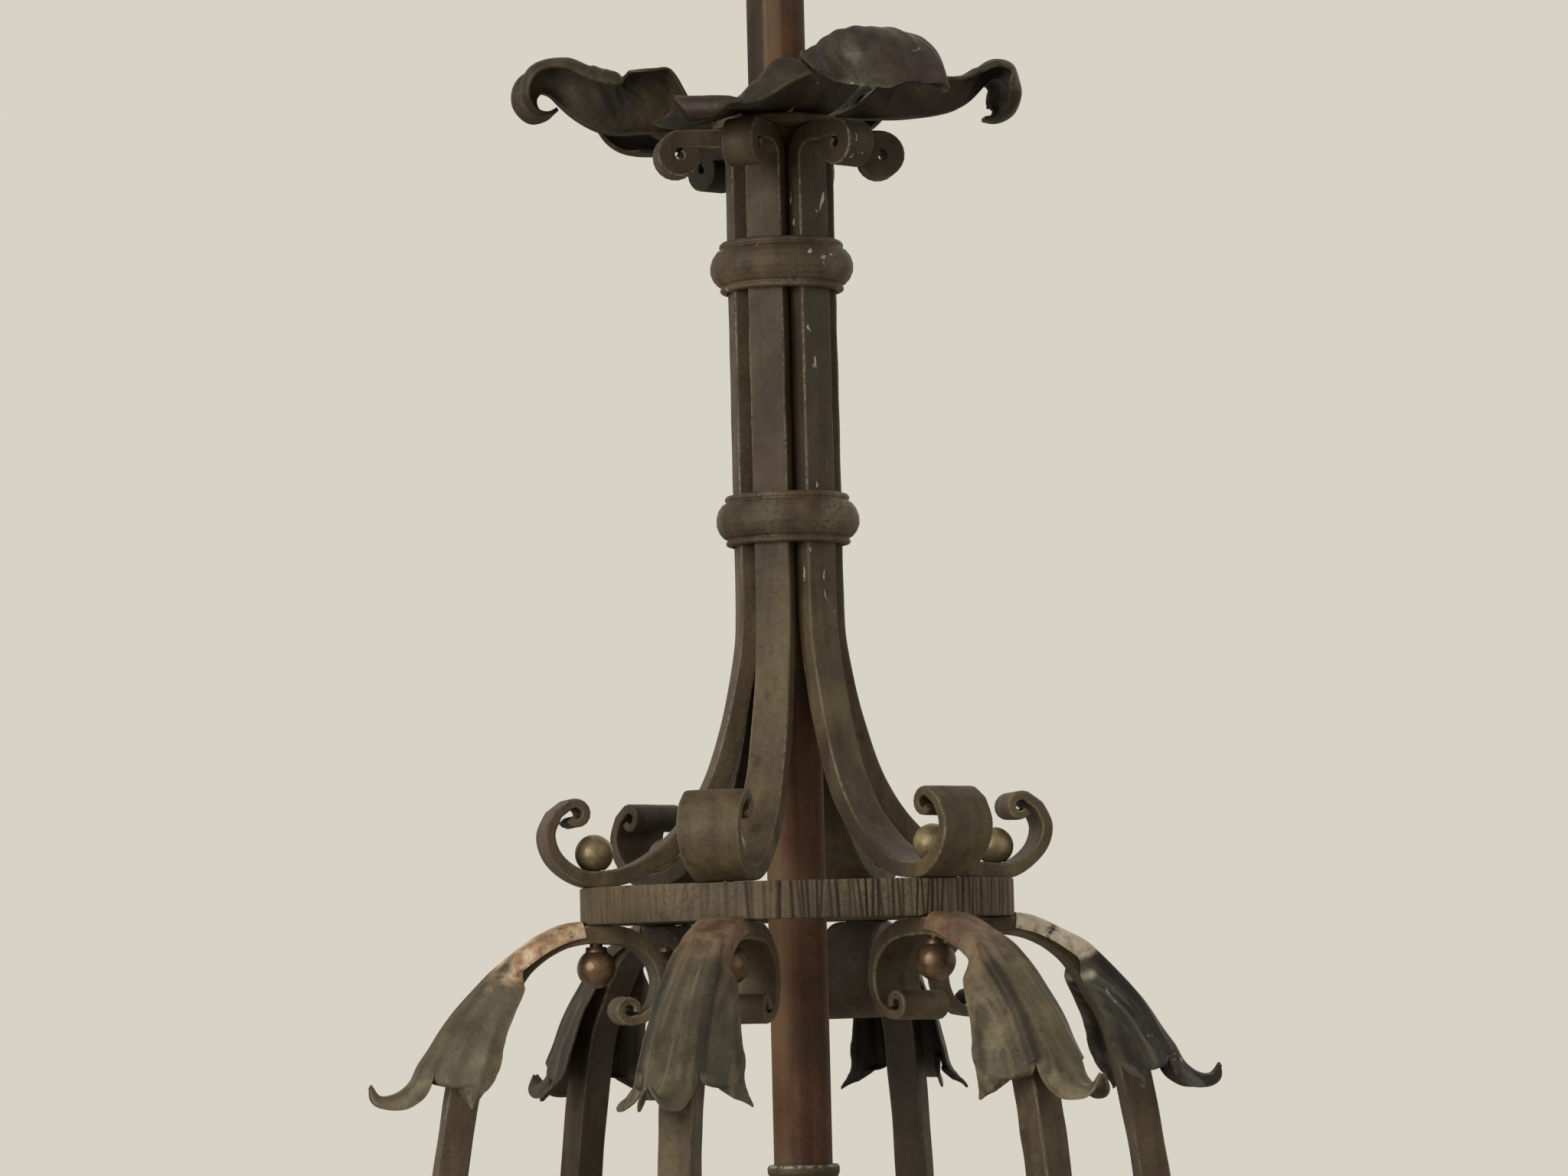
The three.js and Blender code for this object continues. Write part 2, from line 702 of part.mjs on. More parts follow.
// Candle spider: a boss on the lower pipe with three curved tubes and pans
let spider = toSolid(turned([
  [PIPE_R + FIT, -372],
  [24, -372],
  [29, -366],
  [29, -352],
  [22, -344],
  [22, -334],
  [PIPE_R + FIT, -334],
], 28));
for (let k = 0; k < CANDLES; k += 1) {
  const path = smooth([
    [24, -360],
    [36, -366],
    [52, -377],
    [68, -381],
    [80, -374],
    [CANDLE_R, -362],
    [CANDLE_R, CUP_SHELF - 2],
  ], 10).map(([r, z]) => new THREE.Vector3(r, 0, z));
  path.flatOut = new THREE.Vector3(0, 1, 0);
  const tubeArm = wire(path, 5, false, 8);
  const seat = turned([
    [0, CUP_SHELF - 8],
    [9, CUP_SHELF - 8],
    [12, CUP_SHELF],
    [0, CUP_SHELF],
  ], 16);
  seat.translate(CANDLE_R, 0, 0);
  const turn = STEP / 2 + (k * 2 * Math.PI) / CANDLES;
  tubeArm.rotateZ(turn);
  seat.rotateZ(turn);
  spider = spider.add(toSolid(tubeArm)).add(toSolid(seat));
}
add('candle_spider', lifted(fromSolid(spider)), IRON);

const panZ = CUP_SHELF + FIT;
const sleeve = turned([
  [0, panZ],
  [12, panZ],
  [24, panZ + 4],
  [28, panZ + 9],
  [26.4, panZ + 9.6],
  [22.6, panZ + 6],
  [13.5, panZ + 3.4],
  [13.5, SLEEVE_TOP],
  [7.6, SLEEVE_TOP],
  [7.6, SLEEVE_TOP - 24],
  [0, SLEEVE_TOP - 24],
], 18);
sleeve.translate(CANDLE_R, 0, 0);
around('candle_sleeve', sleeve, IVORY, RING_TOP, CANDLES, STEP / 2);
const bulbZ = SLEEVE_TOP + FIT;
const bulb = turned([
  [0, SLEEVE_TOP - 23],
  [4.5, SLEEVE_TOP - 23],
  [7, SLEEVE_TOP - 20],
  [7, bulbZ],
  [9, bulbZ],
  [14, bulbZ + 10],
  [17.5, bulbZ + 24],
  [16, bulbZ + 41],
  [10.5, bulbZ + 57],
  [4, bulbZ + 70],
  [0, bulbZ + 75],
], 16);
bulb.translate(CANDLE_R, 0, 0);
around('candle_bulb', bulb, GLASS, RING_TOP, CANDLES, STEP / 2);

// Bottom hub with six flats for the arms, and the finial under it
const hub = new THREE.CylinderGeometry(
  HUB_FLAT / Math.cos(Math.PI / 6),
  HUB_FLAT / Math.cos(Math.PI / 6),
  HUB_H,
  6,
);
hub.rotateX(Math.PI / 2);
hub.translate(0, 0, HUB_Z);
const hubBore = rod(PIPE_R + FIT, HUB_Z - HUB_H, HUB_Z + HUB_H, 32);
add('bottom_hub', lifted(fromSolid(toSolid(hub).subtract(toSolid(hubBore)))), IRON);
const finTop = HUB_Z - HUB_H / 2 - FIT;
add('finial', lifted(turned([
  [0, finTop + 18],
  [PIPE_R - PIPE_WALL - FIT, finTop + 18],
  [PIPE_R - PIPE_WALL - FIT, finTop],
  [27, finTop],
  [27, finTop - 4],
  [20, finTop - 8],
  [9.5, finTop - 13],
  [8.5, finTop - 18],
  [17.4, finTop - 27],
  [20.4, finTop - 38],
  [17.4, finTop - 49],
  [6, finTop - 59],
  [5, finTop - 63],
  [7.4, finTop - 68],
  [5, finTop - 76],
  [0, finTop - 82],
], 22)), IRON);

// Ceiling plate, hook, link and the loop on top of the down rod
add('ceiling_plate', fromSolid(
  toSolid(rod(50, -6, 0, 32))
    .subtract(toSolid(rod(HOOK_WIRE + FIT, -8, -1.5, 16)))
    .subtract(toSolid(rod(2.8, -8, 2, 12).translate(34, 0, 0)))
    .subtract(toSolid(rod(2.8, -8, 2, 12).translate(-34, 0, 0))),
), DARK);
const hookPath = [];
for (let i = 0; i <= 14; i += 1) {
  const a = ((118 + (i * 282) / 14) * Math.PI) / 180;
  hookPath.push([HOOK_R * Math.cos(a), HOOK_Z + HOOK_R * Math.sin(a)]);
}
const hookLine = [[0, -1.8], [0, -6], [0, -11], [-2, -15], ...hookPath.slice(1)]
  .map(([x, z]) => new THREE.Vector3(x, 0, z));
hookLine.flatOut = new THREE.Vector3(0, 1, 0);
add('ceiling_hook', wire(hookLine, HOOK_WIRE, false, 10), DARK);

const hookLow = HOOK_Z - HOOK_R;
const linkTop = hookLow + HOOK_WIRE + LINK_WIRE + FIT;
const linkLow = linkTop - LINK_LEN;
const linkHalf = 11.5;
const linkLine = [];
for (let i = 0; i < 20; i += 1) {
  const a = (i / 20) * 2 * Math.PI;
  const mid = Math.sin(a) >= 0 ? linkTop - linkHalf : linkLow + linkHalf;
  const y = linkHalf * Math.cos(a);
  linkLine.push(new THREE.Vector3(0, y, mid + linkHalf * Math.sin(a)));
}
linkLine.splice(11, 0, new THREE.Vector3(0, -linkHalf, linkLow + linkHalf));
linkLine.push(new THREE.Vector3(0, linkHalf, linkLow + linkHalf + 0.4));
linkLine.flatOut = new THREE.Vector3(1, 0, 0);
add('hanging_link', wire(linkLine, LINK_WIRE, true, 8), DARK);

const loopTop = linkLow + LINK_WIRE + LOOP_WIRE + FIT;
const loopMid = loopTop - LOOP_R;
const loopLine = [];
for (let i = 0; i < 20; i += 1) {
  const a = (i / 20) * 2 * Math.PI;
  loopLine.push(new THREE.Vector3(LOOP_R * Math.cos(a), 0, loopMid + LOOP_R * Math.sin(a)));
}
loopLine.flatOut = new THREE.Vector3(0, 1, 0);
const plug = turned([
  [0, loopMid - LOOP_R + 2],
  [8, loopMid - LOOP_R + 2],
  [PIPE_R - 1, ROD_TOP + 5],
  [PIPE_R, ROD_TOP + 3],
  [PIPE_R, ROD_TOP + FIT],
  [PIPE_R - PIPE_WALL - FIT, ROD_TOP + FIT],
  [PIPE_R - PIPE_WALL - FIT, ROD_TOP - 16],
  [0, ROD_TOP - 16],
], 24);
add('top_loop', fromSolid(toSolid(wire(loopLine, LOOP_WIRE, true, 8)).add(toSolid(plug))), DARK);

// Ceiling cup that hides the hook, and the collar that holds it up
const CUP_TOP = -6.5;
const CUP_FOOT = -118;
add('ceiling_cup', turned([
  [PIPE_R + FIT, CUP_FOOT],
  [21, CUP_FOOT],
  [32, CUP_FOOT + 16],
  [45, CUP_FOOT + 40],
  [54, CUP_FOOT + 72],
  [58, CUP_TOP],
  [56.4, CUP_TOP],
  [52.4, CUP_FOOT + 72.6],
  [43.4, CUP_FOOT + 41],
  [30.6, CUP_FOOT + 17.4],
  [20, CUP_FOOT + 2.4],
  [PIPE_R + FIT, CUP_FOOT + 2.4],
], 32), IRON);
const cupCollar = turned([
  [PIPE_R + FIT, CUP_FOOT - FIT - 12],
  [22, CUP_FOOT - FIT - 12],
  [23.5, CUP_FOOT - FIT - 10.5],
  [23.5, CUP_FOOT - FIT - 1.5],
  [22, CUP_FOOT - FIT],
  [PIPE_R + FIT, CUP_FOOT - FIT],
], 24);
const screwHole = rod(2.4, 12, 30, 12);
screwHole.rotateY(Math.PI / 2);
screwHole.translate(0, 0, CUP_FOOT - FIT - 6);
add('cup_collar', fromSolid(toSolid(cupCollar).subtract(toSolid(screwHole))), IRON);
const thumbScrew = turned([
  [0, PIPE_R + FIT],
  [2, PIPE_R + FIT],
  [2, 25],
  [4.6, 25],
  [5, 26],
  [5, 31],
  [4.4, 32],
  [0, 32],
], 14);
thumbScrew.rotateY(Math.PI / 2);
thumbScrew.translate(0, 0, CUP_FOOT - FIT - 6);
add('cup_screw', thumbScrew, BRONZE);

export default root;
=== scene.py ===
# %% [markdown]
# # A wrought iron chandelier, piece by piece
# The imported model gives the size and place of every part. This lesson builds a finer
# skin for each part with numpy: every shape is a formula over a grid of two parameters.
# A smith makes this object from flat bar, sheet and turned balls, so the same few
# tools (bend a bar, turn a profile, fold a sheet) come back again and again.

# %% Load the frame
import json
import math

import bpy
import numpy as np
from mathutils import Matrix


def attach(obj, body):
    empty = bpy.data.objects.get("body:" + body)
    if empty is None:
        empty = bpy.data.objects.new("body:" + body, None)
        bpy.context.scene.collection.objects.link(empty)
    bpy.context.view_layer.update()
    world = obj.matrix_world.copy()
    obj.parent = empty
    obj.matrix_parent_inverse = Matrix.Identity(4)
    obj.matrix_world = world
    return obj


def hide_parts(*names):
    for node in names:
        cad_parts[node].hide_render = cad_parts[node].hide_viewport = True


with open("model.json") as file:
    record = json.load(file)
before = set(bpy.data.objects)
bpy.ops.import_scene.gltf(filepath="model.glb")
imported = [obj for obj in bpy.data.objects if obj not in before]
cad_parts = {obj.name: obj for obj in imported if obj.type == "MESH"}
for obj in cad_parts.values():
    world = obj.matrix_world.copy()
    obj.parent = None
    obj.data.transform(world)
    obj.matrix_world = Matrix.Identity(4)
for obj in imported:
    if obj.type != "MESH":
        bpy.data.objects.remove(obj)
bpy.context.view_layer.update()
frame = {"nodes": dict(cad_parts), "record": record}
MM = 0.001
RING_TOP = -713.0
ARMS = 6
SIXTH = 360 / ARMS
FIT, PIPE_R = 0.3, 15.9
BORE = PIPE_R + FIT
body_of = {n: b for b, ns in frame["record"]["behaviour"]["bodies"].items() for n in ns}

# %% [markdown]
# ## The camera
# The photograph was taken with a long lens from about three metres, a little from the
# left, looking four degrees up and with the camera tilted by a degree and a half.
# The camera's three axes are worked out directly from those angles.

# %% Camera
VIEW_TURN, VIEW_UP, VIEW_TILT = map(math.radians, (10.8, 4.2, 1.4))
VIEW_FAR, VIEW_Z = 2.880, -0.763
PHOTO_WIDTH, FOCAL_PX, SHIFT_PX, SENSOR = 2048, 6900, -7, 36


def pose(obj, right, up, back, spot):
    """Put an object at a spot; its three axes are the columns of its matrix."""
    turn = np.eye(4)
    turn[:3] = np.stack([right, up, back, spot], 1)
    obj.matrix_world = Matrix(turn.tolist())


def place_camera():
    """Camera axes: right is level, up is square to the view, then both turn by the tilt."""
    level = np.array([math.cos(VIEW_TURN), -math.sin(VIEW_TURN), 0])
    ahead = np.array([math.sin(VIEW_TURN) * math.cos(VIEW_UP),
                      math.cos(VIEW_TURN) * math.cos(VIEW_UP), math.sin(VIEW_UP)])
    upright = np.cross(level, ahead)
    right = level * math.cos(VIEW_TILT) - upright * math.sin(VIEW_TILT)
    up = level * math.sin(VIEW_TILT) + upright * math.cos(VIEW_TILT)
    data = bpy.data.cameras.new("camera")
    data.lens = SENSOR * FOCAL_PX / PHOTO_WIDTH
    data.sensor_width = SENSOR
    data.shift_x = SHIFT_PX / PHOTO_WIDTH
    data.clip_end = 60
    cam = bpy.data.objects.new("camera", data)
    bpy.context.scene.collection.objects.link(cam)
    spot = (-VIEW_FAR * math.sin(VIEW_TURN), -VIEW_FAR * math.cos(VIEW_TURN), VIEW_Z)
    pose(cam, right, up, -ahead, spot)
    bpy.context.scene.camera = cam
    return cam


print("camera at", tuple(round(v, 3) for v in place_camera().matrix_world.translation))

# %% [markdown]
# ## Light and room
# An even sky gives the plain level. One large soft lamp at the front left shapes the
# bars; two weak ones fill from the right and light the edges from behind. Camera rays
# and shiny pieces see a plain pale wall colour instead of the sky.

# %% Room
WALL, SKY, SKY_LEVEL = (0.685, 0.65, 0.56), (1.0, 0.985, 0.95), 0.33
LAMP_AIM = np.array([0, 0, -0.75])


def room():
    """World light for the object, wall colour for rays of the camera and of reflections."""
    world = bpy.data.worlds.new("room")
    bpy.context.scene.world = world
    world.use_nodes = True
    nt = world.node_tree
    nt.nodes.clear()
    path = nt.nodes.new("ShaderNodeLightPath")
    sky = nt.nodes.new("ShaderNodeBackground")
    sky.inputs["Color"].default_value = (*SKY, 1)
    sky.inputs["Strength"].default_value = SKY_LEVEL
    wall = nt.nodes.new("ShaderNodeBackground")
    wall.inputs["Color"].default_value = (*WALL, 1)
    mix = nt.nodes.new("ShaderNodeMixShader")
    out = nt.nodes.new("ShaderNodeOutputWorld")
    seen = path.outputs["Is Camera Ray"]
    for kind in ("Is Transmission Ray", "Is Glossy Ray"):
        either = nt.nodes.new("ShaderNodeMath")
        either.operation = "MAXIMUM"
        nt.links.new(seen, either.inputs[0])
        nt.links.new(path.outputs[kind], either.inputs[1])
        seen = either.outputs[0]
    nt.links.new(seen, mix.inputs[0])
    nt.links.new(sky.outputs[0], mix.inputs[1])
    nt.links.new(wall.outputs[0], mix.inputs[2])
    nt.links.new(mix.outputs[0], out.inputs[0])


def lamp(name, spot, size, power, tint):
    """A square soft lamp that looks at the hoop."""
    data = bpy.data.lights.new(name, "AREA")
    data.shape, data.size, data.energy, data.color = "SQUARE", size, power, tint
    obj = bpy.data.objects.new(name, data)
    bpy.context.scene.collection.objects.link(obj)
    back = np.array(spot) - LAMP_AIM
    back = back / np.linalg.norm(back)
    side = np.cross([0, 0, 1], back)
    side = side / np.linalg.norm(side)
    pose(obj, side, np.cross(back, side), back, spot)


room()
lamp("key", (-2.9, -2.3, 0.15), 2.2, 80, (1.0, 0.97, 0.91))
lamp("fill", (2.8, -2.2, -0.5), 2.4, 8, (0.95, 0.97, 1.0))
lamp("rim", (1.2, 2.9, 0.6), 2.0, 9, (1.0, 0.98, 0.94))

# %% [markdown]
# ## Mesh helpers
# Every piece below is a grid of points. A grid that comes back to its start, or that
# shrinks to a point, has points that lie on each other; merging them closes the skin.
# The signed volume of the closed skin tells which way its faces look.


# %% From a grid to a mesh
def faces_of(rows, cols):
    """Quads of a grid with rows by cols points, as index numbers."""
    i, j = np.meshgrid(np.arange(rows - 1), np.arange(cols - 1), indexing="ij")
    a = (i * cols + j).ravel()
    return np.stack([a, a + 1, a + cols + 1, a + cols], 1)


def volume_of(points, quads):
    """Signed volume: each quad as two triangles, each with the origin as a thin pyramid."""
    a, b, c, d = (points[quads[:, k]] for k in range(4))
    half = np.einsum("ij,ij->i", a, np.cross(b, c)) + np.einsum("ij,ij->i", a, np.cross(c, d))
    return half.sum() / 6


def make(name, points, quads, uv, fields, sharp=40):
    """Merge equal points, turn the faces outwards and store the map and the fields."""
    if volume_of(points, quads) < 0:
        quads = quads[:, ::-1]
    key = np.round(points, 4)
    _, first, back = np.unique(key, axis=0, return_index=True, return_inverse=True)
    back = back.reshape(-1)
    faces = back[quads]
    same = faces == np.roll(faces, -1, axis=1)
    fine = same.sum(1) <= 1
    corner_uv = uv[quads][fine]
    faces, same = faces[fine], same[fine]
    counts = 4 - same.sum(1)
    keep = ~same
    mesh = bpy.data.meshes.new(name)
    mesh.vertices.add(len(first))
    mesh.vertices.foreach_set("co", (points[first] * MM).astype(np.float32).ravel())
    mesh.loops.add(int(counts.sum()))
    mesh.loops.foreach_set("vertex_index", faces[keep].astype(np.int32))
    mesh.polygons.add(len(faces))
    starts = np.concatenate([[0], np.cumsum(counts)[:-1]]).astype(np.int32)
    mesh.polygons.foreach_set("loop_start", starts)
    mesh.update(calc_edges=True)
    layer = mesh.uv_layers.new(name="along")
    layer.data.foreach_set("uv", corner_uv[keep].astype(np.float32).ravel())
    for field, values in fields.items():
        attribute = mesh.attributes.new(field, "FLOAT", "POINT")
        attribute.data.foreach_set("value", values.reshape(-1)[first].astype(np.float32))
    mesh.validate()
    mesh.shade_smooth()
    mesh.set_sharp_from_angle(angle=math.radians(sharp))
    obj = bpy.data.objects.new(name, mesh)
    bpy.context.scene.collection.objects.link(obj)
    return obj


def skin(name, grid, fields=None, sharp=40):
    """A grid (rows, columns, xyz in mm) as a mesh; its map runs in metres along the grid."""
    rows, cols = grid.shape[:2]
    along = np.linalg.norm(np.diff(grid.mean(1), axis=0), axis=1).cumsum()
    mid = grid[rows // 2]
    across = np.linalg.norm(np.diff(mid, axis=0), axis=1).cumsum()
    u, v = np.meshgrid(np.r_[0, along] * MM, np.r_[0, across] * MM, indexing="ij")
    uv = np.stack([v.ravel(), u.ravel()], 1)
    points = grid.reshape(-1, 3)
    return make(name, points, faces_of(rows, cols), uv, fields or {}, sharp)


# %% [markdown]
# Nothing forged is perfectly smooth. A sum of sine waves in random directions gives the
# dents, and the same waves spread wear and dirt in soft patches. Two short curves, a
# bell and a smooth step, place a feature exactly where it belongs.


# %% Uneven surfaces
def waves(points, size, seed):
    """Smooth unevenness from -1 to 1: seven sine waves in random directions, size mm long."""
    rng = np.random.default_rng(seed)
    way = rng.normal(size=(7, 3))
    way = way / np.linalg.norm(way, axis=1, keepdims=True)
    pitch = 2 * np.pi / (size * rng.uniform(0.6, 1.6, 7))
    phase = rng.uniform(0, 2 * np.pi, 7)
    return np.sin(points @ way.T * pitch + phase).sum(-1) / 3.5


def normals_of(grid):
    """Normals of a grid: the cross product of its two directions, averaged at each point."""
    by_row = np.gradient(grid, axis=0)
    by_col = np.gradient(grid, axis=1)
    if np.allclose(grid[:, 0], grid[:, -1], atol=1e-6):
        seam = grid[:, 1] - grid[:, -2]
        by_col[:, 0] = by_col[:, -1] = seam / 2
    n = np.cross(by_row, by_col)
    return n / np.maximum(np.linalg.norm(n, axis=-1, keepdims=True), 1e-9)


def dented(grid, depth, size, seed):
    """Hammer a grid: move each point along its normal by depth mm times the waves."""
    return grid + normals_of(grid) * (depth * waves(grid, size, seed))[..., None]


def bell(value, width):
    """A hump: 1 where the value is 0, near 0 two widths away."""
    return np.exp(-(value / width) ** 2)


def ease(value, low, high):
    """Smooth step from 0 at low to 1 at high."""
    t = np.clip((value - low) / (high - low), 0, 1)
    return t * t * (3 - 2 * t)


# %% [markdown]
# Each piece is modelled where the arm number one stands, with heights counted from the
# hoop's top. It is then lifted and turned to its place, and dressed: told which body it
# rides on, which solid it stands for and which finish it has.


# %% To its place
def turned_by(grid, degrees):
    """Turn points about the Z axis."""
    a = math.radians(degrees)
    turn = np.array([[math.cos(a), -math.sin(a), 0], [math.sin(a), math.cos(a), 0], [0, 0, 1]])
    return grid @ turn.T


def lifted(grid):
    """Move points from the hoop's top, where the drawing starts, to the hoop's place."""
    return grid + np.array([0, 0, RING_TOP])


dressed = []


def dress(piece, node, material):
    """The piece rides on its node's body, stands for the node and takes its finish."""
    piece.data.materials.clear()
    piece.data.materials.append(material)
    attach(piece, body_of[node])
    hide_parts(node)
    dressed.append(piece)


# %% [markdown]
# ## Finishes
# Old iron is never one colour: blotches of olive and brown, streaks that ran down,
# a fine grain, dirt in the corners and bare metal where hands and brooms touched it.
# One function mixes these from noise in the object's own coordinates, so that the
# pattern stays with the metal when a piece moves.
# On some pieces these layers also hold painted light: painted shade in the dirt layer and painted
# highlights in the worn layer.


# %% Shader helpers
DIRT_AND_SHADE_SHARE, BUMP_DEPTH = 0.85, 0.0007


def colour(code):
    """Hex sRGB to linear light: divide, lift and raise to the power 2.4."""
    s = np.array([int(code[k:k + 2], 16) for k in (0, 2, 4)]) / 255
    lin = np.where(s <= 0.04045, s / 12.92, ((s + 0.055) / 1.055) ** 2.4)
    return (*map(float, lin), 1.0)


class Shader:
    """A short way to write a material's nodes."""

    def __init__(self, name):
        self.material = bpy.data.materials.new(name)
        self.material.use_nodes = True
        self.tree = self.material.node_tree
        self.tree.nodes.clear()
        self.place = self.node("TexCoord").outputs["Object"]

    def node(self, kind, **inputs):
        """A node; inputs are given by name, or by number after an underscore."""
        made = self.tree.nodes.new("ShaderNode" + kind)
        for key, value in inputs.items():
            socket = made.inputs[int(key[1:])] if key[0] == "_" else made.inputs[key]
            self.feed(socket, value)
        return made

    def feed(self, socket, value):
        """Link a socket's value, or set a plain number on it."""
        if isinstance(value, bpy.types.NodeSocket):
            self.tree.links.new(value, socket)
        else:
            socket.default_value = value

    def noise(self, scale, detail, rough, stretch=None, warp=0.0, place=None):
        """Noise from 0 to 1; stretch gives each direction its own scale, warp swirls it."""
        place = place or self.place
        if stretch is not None:
            place = self.node("Mapping", Vector=place, Scale=stretch).outputs[0]
        return self.node("TexNoise", Vector=place, Scale=scale, Detail=detail,
                         Roughness=rough, Distortion=warp).outputs["Fac"]

    def math(self, kind, a, b, clamp=False):
        """Two values worked out as one; clamp keeps the result from 0 to 1."""
        made = self.node("Math", _0=a, _1=b)
        made.operation, made.use_clamp = kind, clamp
        return made.outputs[0]

    def band(self, value, low, high):
        """0 below low, 1 above high, smooth between."""
        made = self.node("MapRange", Value=value)
        made.interpolation_type = "SMOOTHSTEP"
        made.inputs["From Min"].default_value = low
        made.inputs["From Max"].default_value = high
        return made.outputs["Result"]

    def ramp(self, value, stops):
        """Colours at places from 0 to 1, with straight changes between them."""
        made = self.node("ValToRGB", Fac=value)
        marks = made.color_ramp.elements
        while len(marks) < len(stops):
            marks.new(0.5)
        for mark, (spot, code) in zip(marks, stops):
            mark.position, mark.color = spot, colour(code)
        return made.outputs["Color"]

    def mix(self, amount, a, b):
        """Colour a at the amount 0, colour b at the amount 1."""
        made = self.tree.nodes.new("ShaderNodeMix")
        made.data_type = "RGBA"
        self.feed(made.inputs[0], amount)
        self.feed(made.inputs[6], a)
        self.feed(made.inputs[7], b)
        return made.outputs[2]

    def sum_of(self, *parts):
        """Sum of values, each times its share."""
        total = 0.0
        for value, share in parts:
            made = self.node("Math", _0=value, _1=share, _2=total)
            made.operation = "MULTIPLY_ADD"
            total = made.outputs[0]
        return total

    def lay(self, base, amount, share, code):
        """Lay a colour over the base where the amount is high, at most by the share."""
        return self.mix(self.math("MULTIPLY", amount, share), base, colour(code))

    def dirt_wear_and_light(self, base, fine, dirt_and_shade, worn_and_lit, rub=(0.35, 0.6)):
        """The dirt colour where the grime_and_shade field is high, then the worn colour where
        wear_and_highlight meets the grain; on some pieces the first is painted shade and the
        second a painted highlight.
        """
        base = self.lay(base, self.field("grime_and_shade"), DIRT_AND_SHADE_SHARE, dirt_and_shade)
        bare_and_lit = self.math("MULTIPLY", self.field("wear_and_highlight"), self.band(fine, *rub), True)
        return self.mix(bare_and_lit, base, colour(worn_and_lit))

    def gloss(self, value, low, high):
        """Roughness from low to high, as the value goes from 0 to 1."""
        made = self.node("MapRange", Value=value)
        made.inputs["To Min"].default_value = low
        made.inputs["To Max"].default_value = high
        return made.outputs[0]

    def field(self, name):
        """The values that the mesh keeps at its points under this name."""
        made = self.node("Attribute")
        made.attribute_name = name
        return made.outputs["Fac"]

    def finish(self, base, metallic, rough, height, distance, **uniform):
        """Close the material: colour, metal, roughness, bump and further plain inputs."""
        bump = self.node("Bump", Height=height, Distance=distance, Strength=1.0)
        shader = self.node("BsdfPrincipled")
        self.feed(shader.inputs["Base Color"], base)
        self.feed(shader.inputs["Metallic"], metallic)
        self.feed(shader.inputs["Roughness"], rough)
        self.feed(shader.inputs["Normal"], bump.outputs[0])
        for key, value in uniform.items():
            shader.inputs[key.replace("_", " ")].default_value = value
        self.node("OutputMaterial", Surface=shader.outputs[0])
        return self.material


# %% [markdown]
# Metal that was handled for a century gets its colour in layers: blotches, streaks and
# grain choose the tone, then come patches of a second tone, pits, dirt, wear and last
# the flecks of old white paint, which are left only near the top.


# %% Aged metal
CHIPS_FROM, CHIPS_FULL = -0.62, -0.54


def aged(name, tones, dirt_and_shade, worn_and_lit, metallic=0.15, rough=(0.48, 0.8), blotch=16.0,
         run=(95.0, 95.0, 8.0), chips=0.0, tint=None, rub=(0.35, 0.6)):
    """Tones from light to dark over blotches, streaks and grain; the dirt colour in the
    grime_and_shade field, painted shade on some pieces; the worn colour where
    wear_and_highlight and the grain meet, a painted highlight on the pipe; white chips where paint
    is left."""
    s = Shader(name)
    blotches = s.noise(blotch, 6.0, 0.62, warp=0.4)
    streaks = s.noise(1.0, 4.0, 0.6, stretch=run)
    fine = s.noise(430.0, 3.0, 0.6)
    spots = s.noise(75.0, 4.0, 0.6)
    base = s.ramp(s.sum_of((streaks, 0.32), (blotches, 0.45), (fine, 0.16)), tones)
    if tint is not None:
        patch = s.band(s.noise(9.0, 5.0, 0.6, warp=0.6), 0.5, 0.66)
        base = s.lay(base, patch, tint[1], tint[0])
    base = s.lay(base, s.band(spots, 0.60, 0.70), 0.5, dirt_and_shade)
    base = s.dirt_wear_and_light(base, fine, dirt_and_shade, worn_and_lit, rub)
    if chips:
        flake = s.band(s.noise(1.0, 4.0, 0.6, (150, 150, 60), 0.5), 0.735 - chips, 0.755 - chips)
        height = s.node("SeparateXYZ", Vector=s.place).outputs[2]
        flake = s.math("MULTIPLY", flake, s.band(height, CHIPS_FROM, CHIPS_FULL))
        base = s.lay(base, flake, 0.85, "c9c2b2")
    tall = s.sum_of((spots, 0.6), (fine, 0.4))
    return s.finish(base, metallic, s.gloss(spots, *rough), tall, BUMP_DEPTH)


IRON_TONES = [(0.36, "6b5c3f"), (0.44, "594b33"), (0.5, "493c28"), (0.58, "372c1d")]
iron = aged("forged iron", IRON_TONES, "281b10", "857a62", tint=("543f30", 0.6))
iron_chipped = aged("forged iron with paint chips", IRON_TONES, "231d14", "7f745e",
                    tint=("443730", 0.7), chips=0.08)
# Painted shade: a darker copy of the iron for the pieces at the back.
iron_shaded = aged("iron with painted shade", [(0.36, "51442f"), (0.44, "403424"), (0.5, "32281b"),
                                 (0.58, "241c13")], "1a120b", "6d614b", tint=("382c25", 0.6))
hoop_iron = aged("hammered iron", [(0.36, "66553b"), (0.46, "574831"), (0.56, "3e3122")],
                 "1e170f", "84745a", tint=("55513a", 0.6))
dark_iron = aged("blackened iron", [(0.36, "4a443a"), (0.48, "37322b"), (0.58, "25211c")],
                 "14110d", "6b6353", rough=(0.4, 0.65))
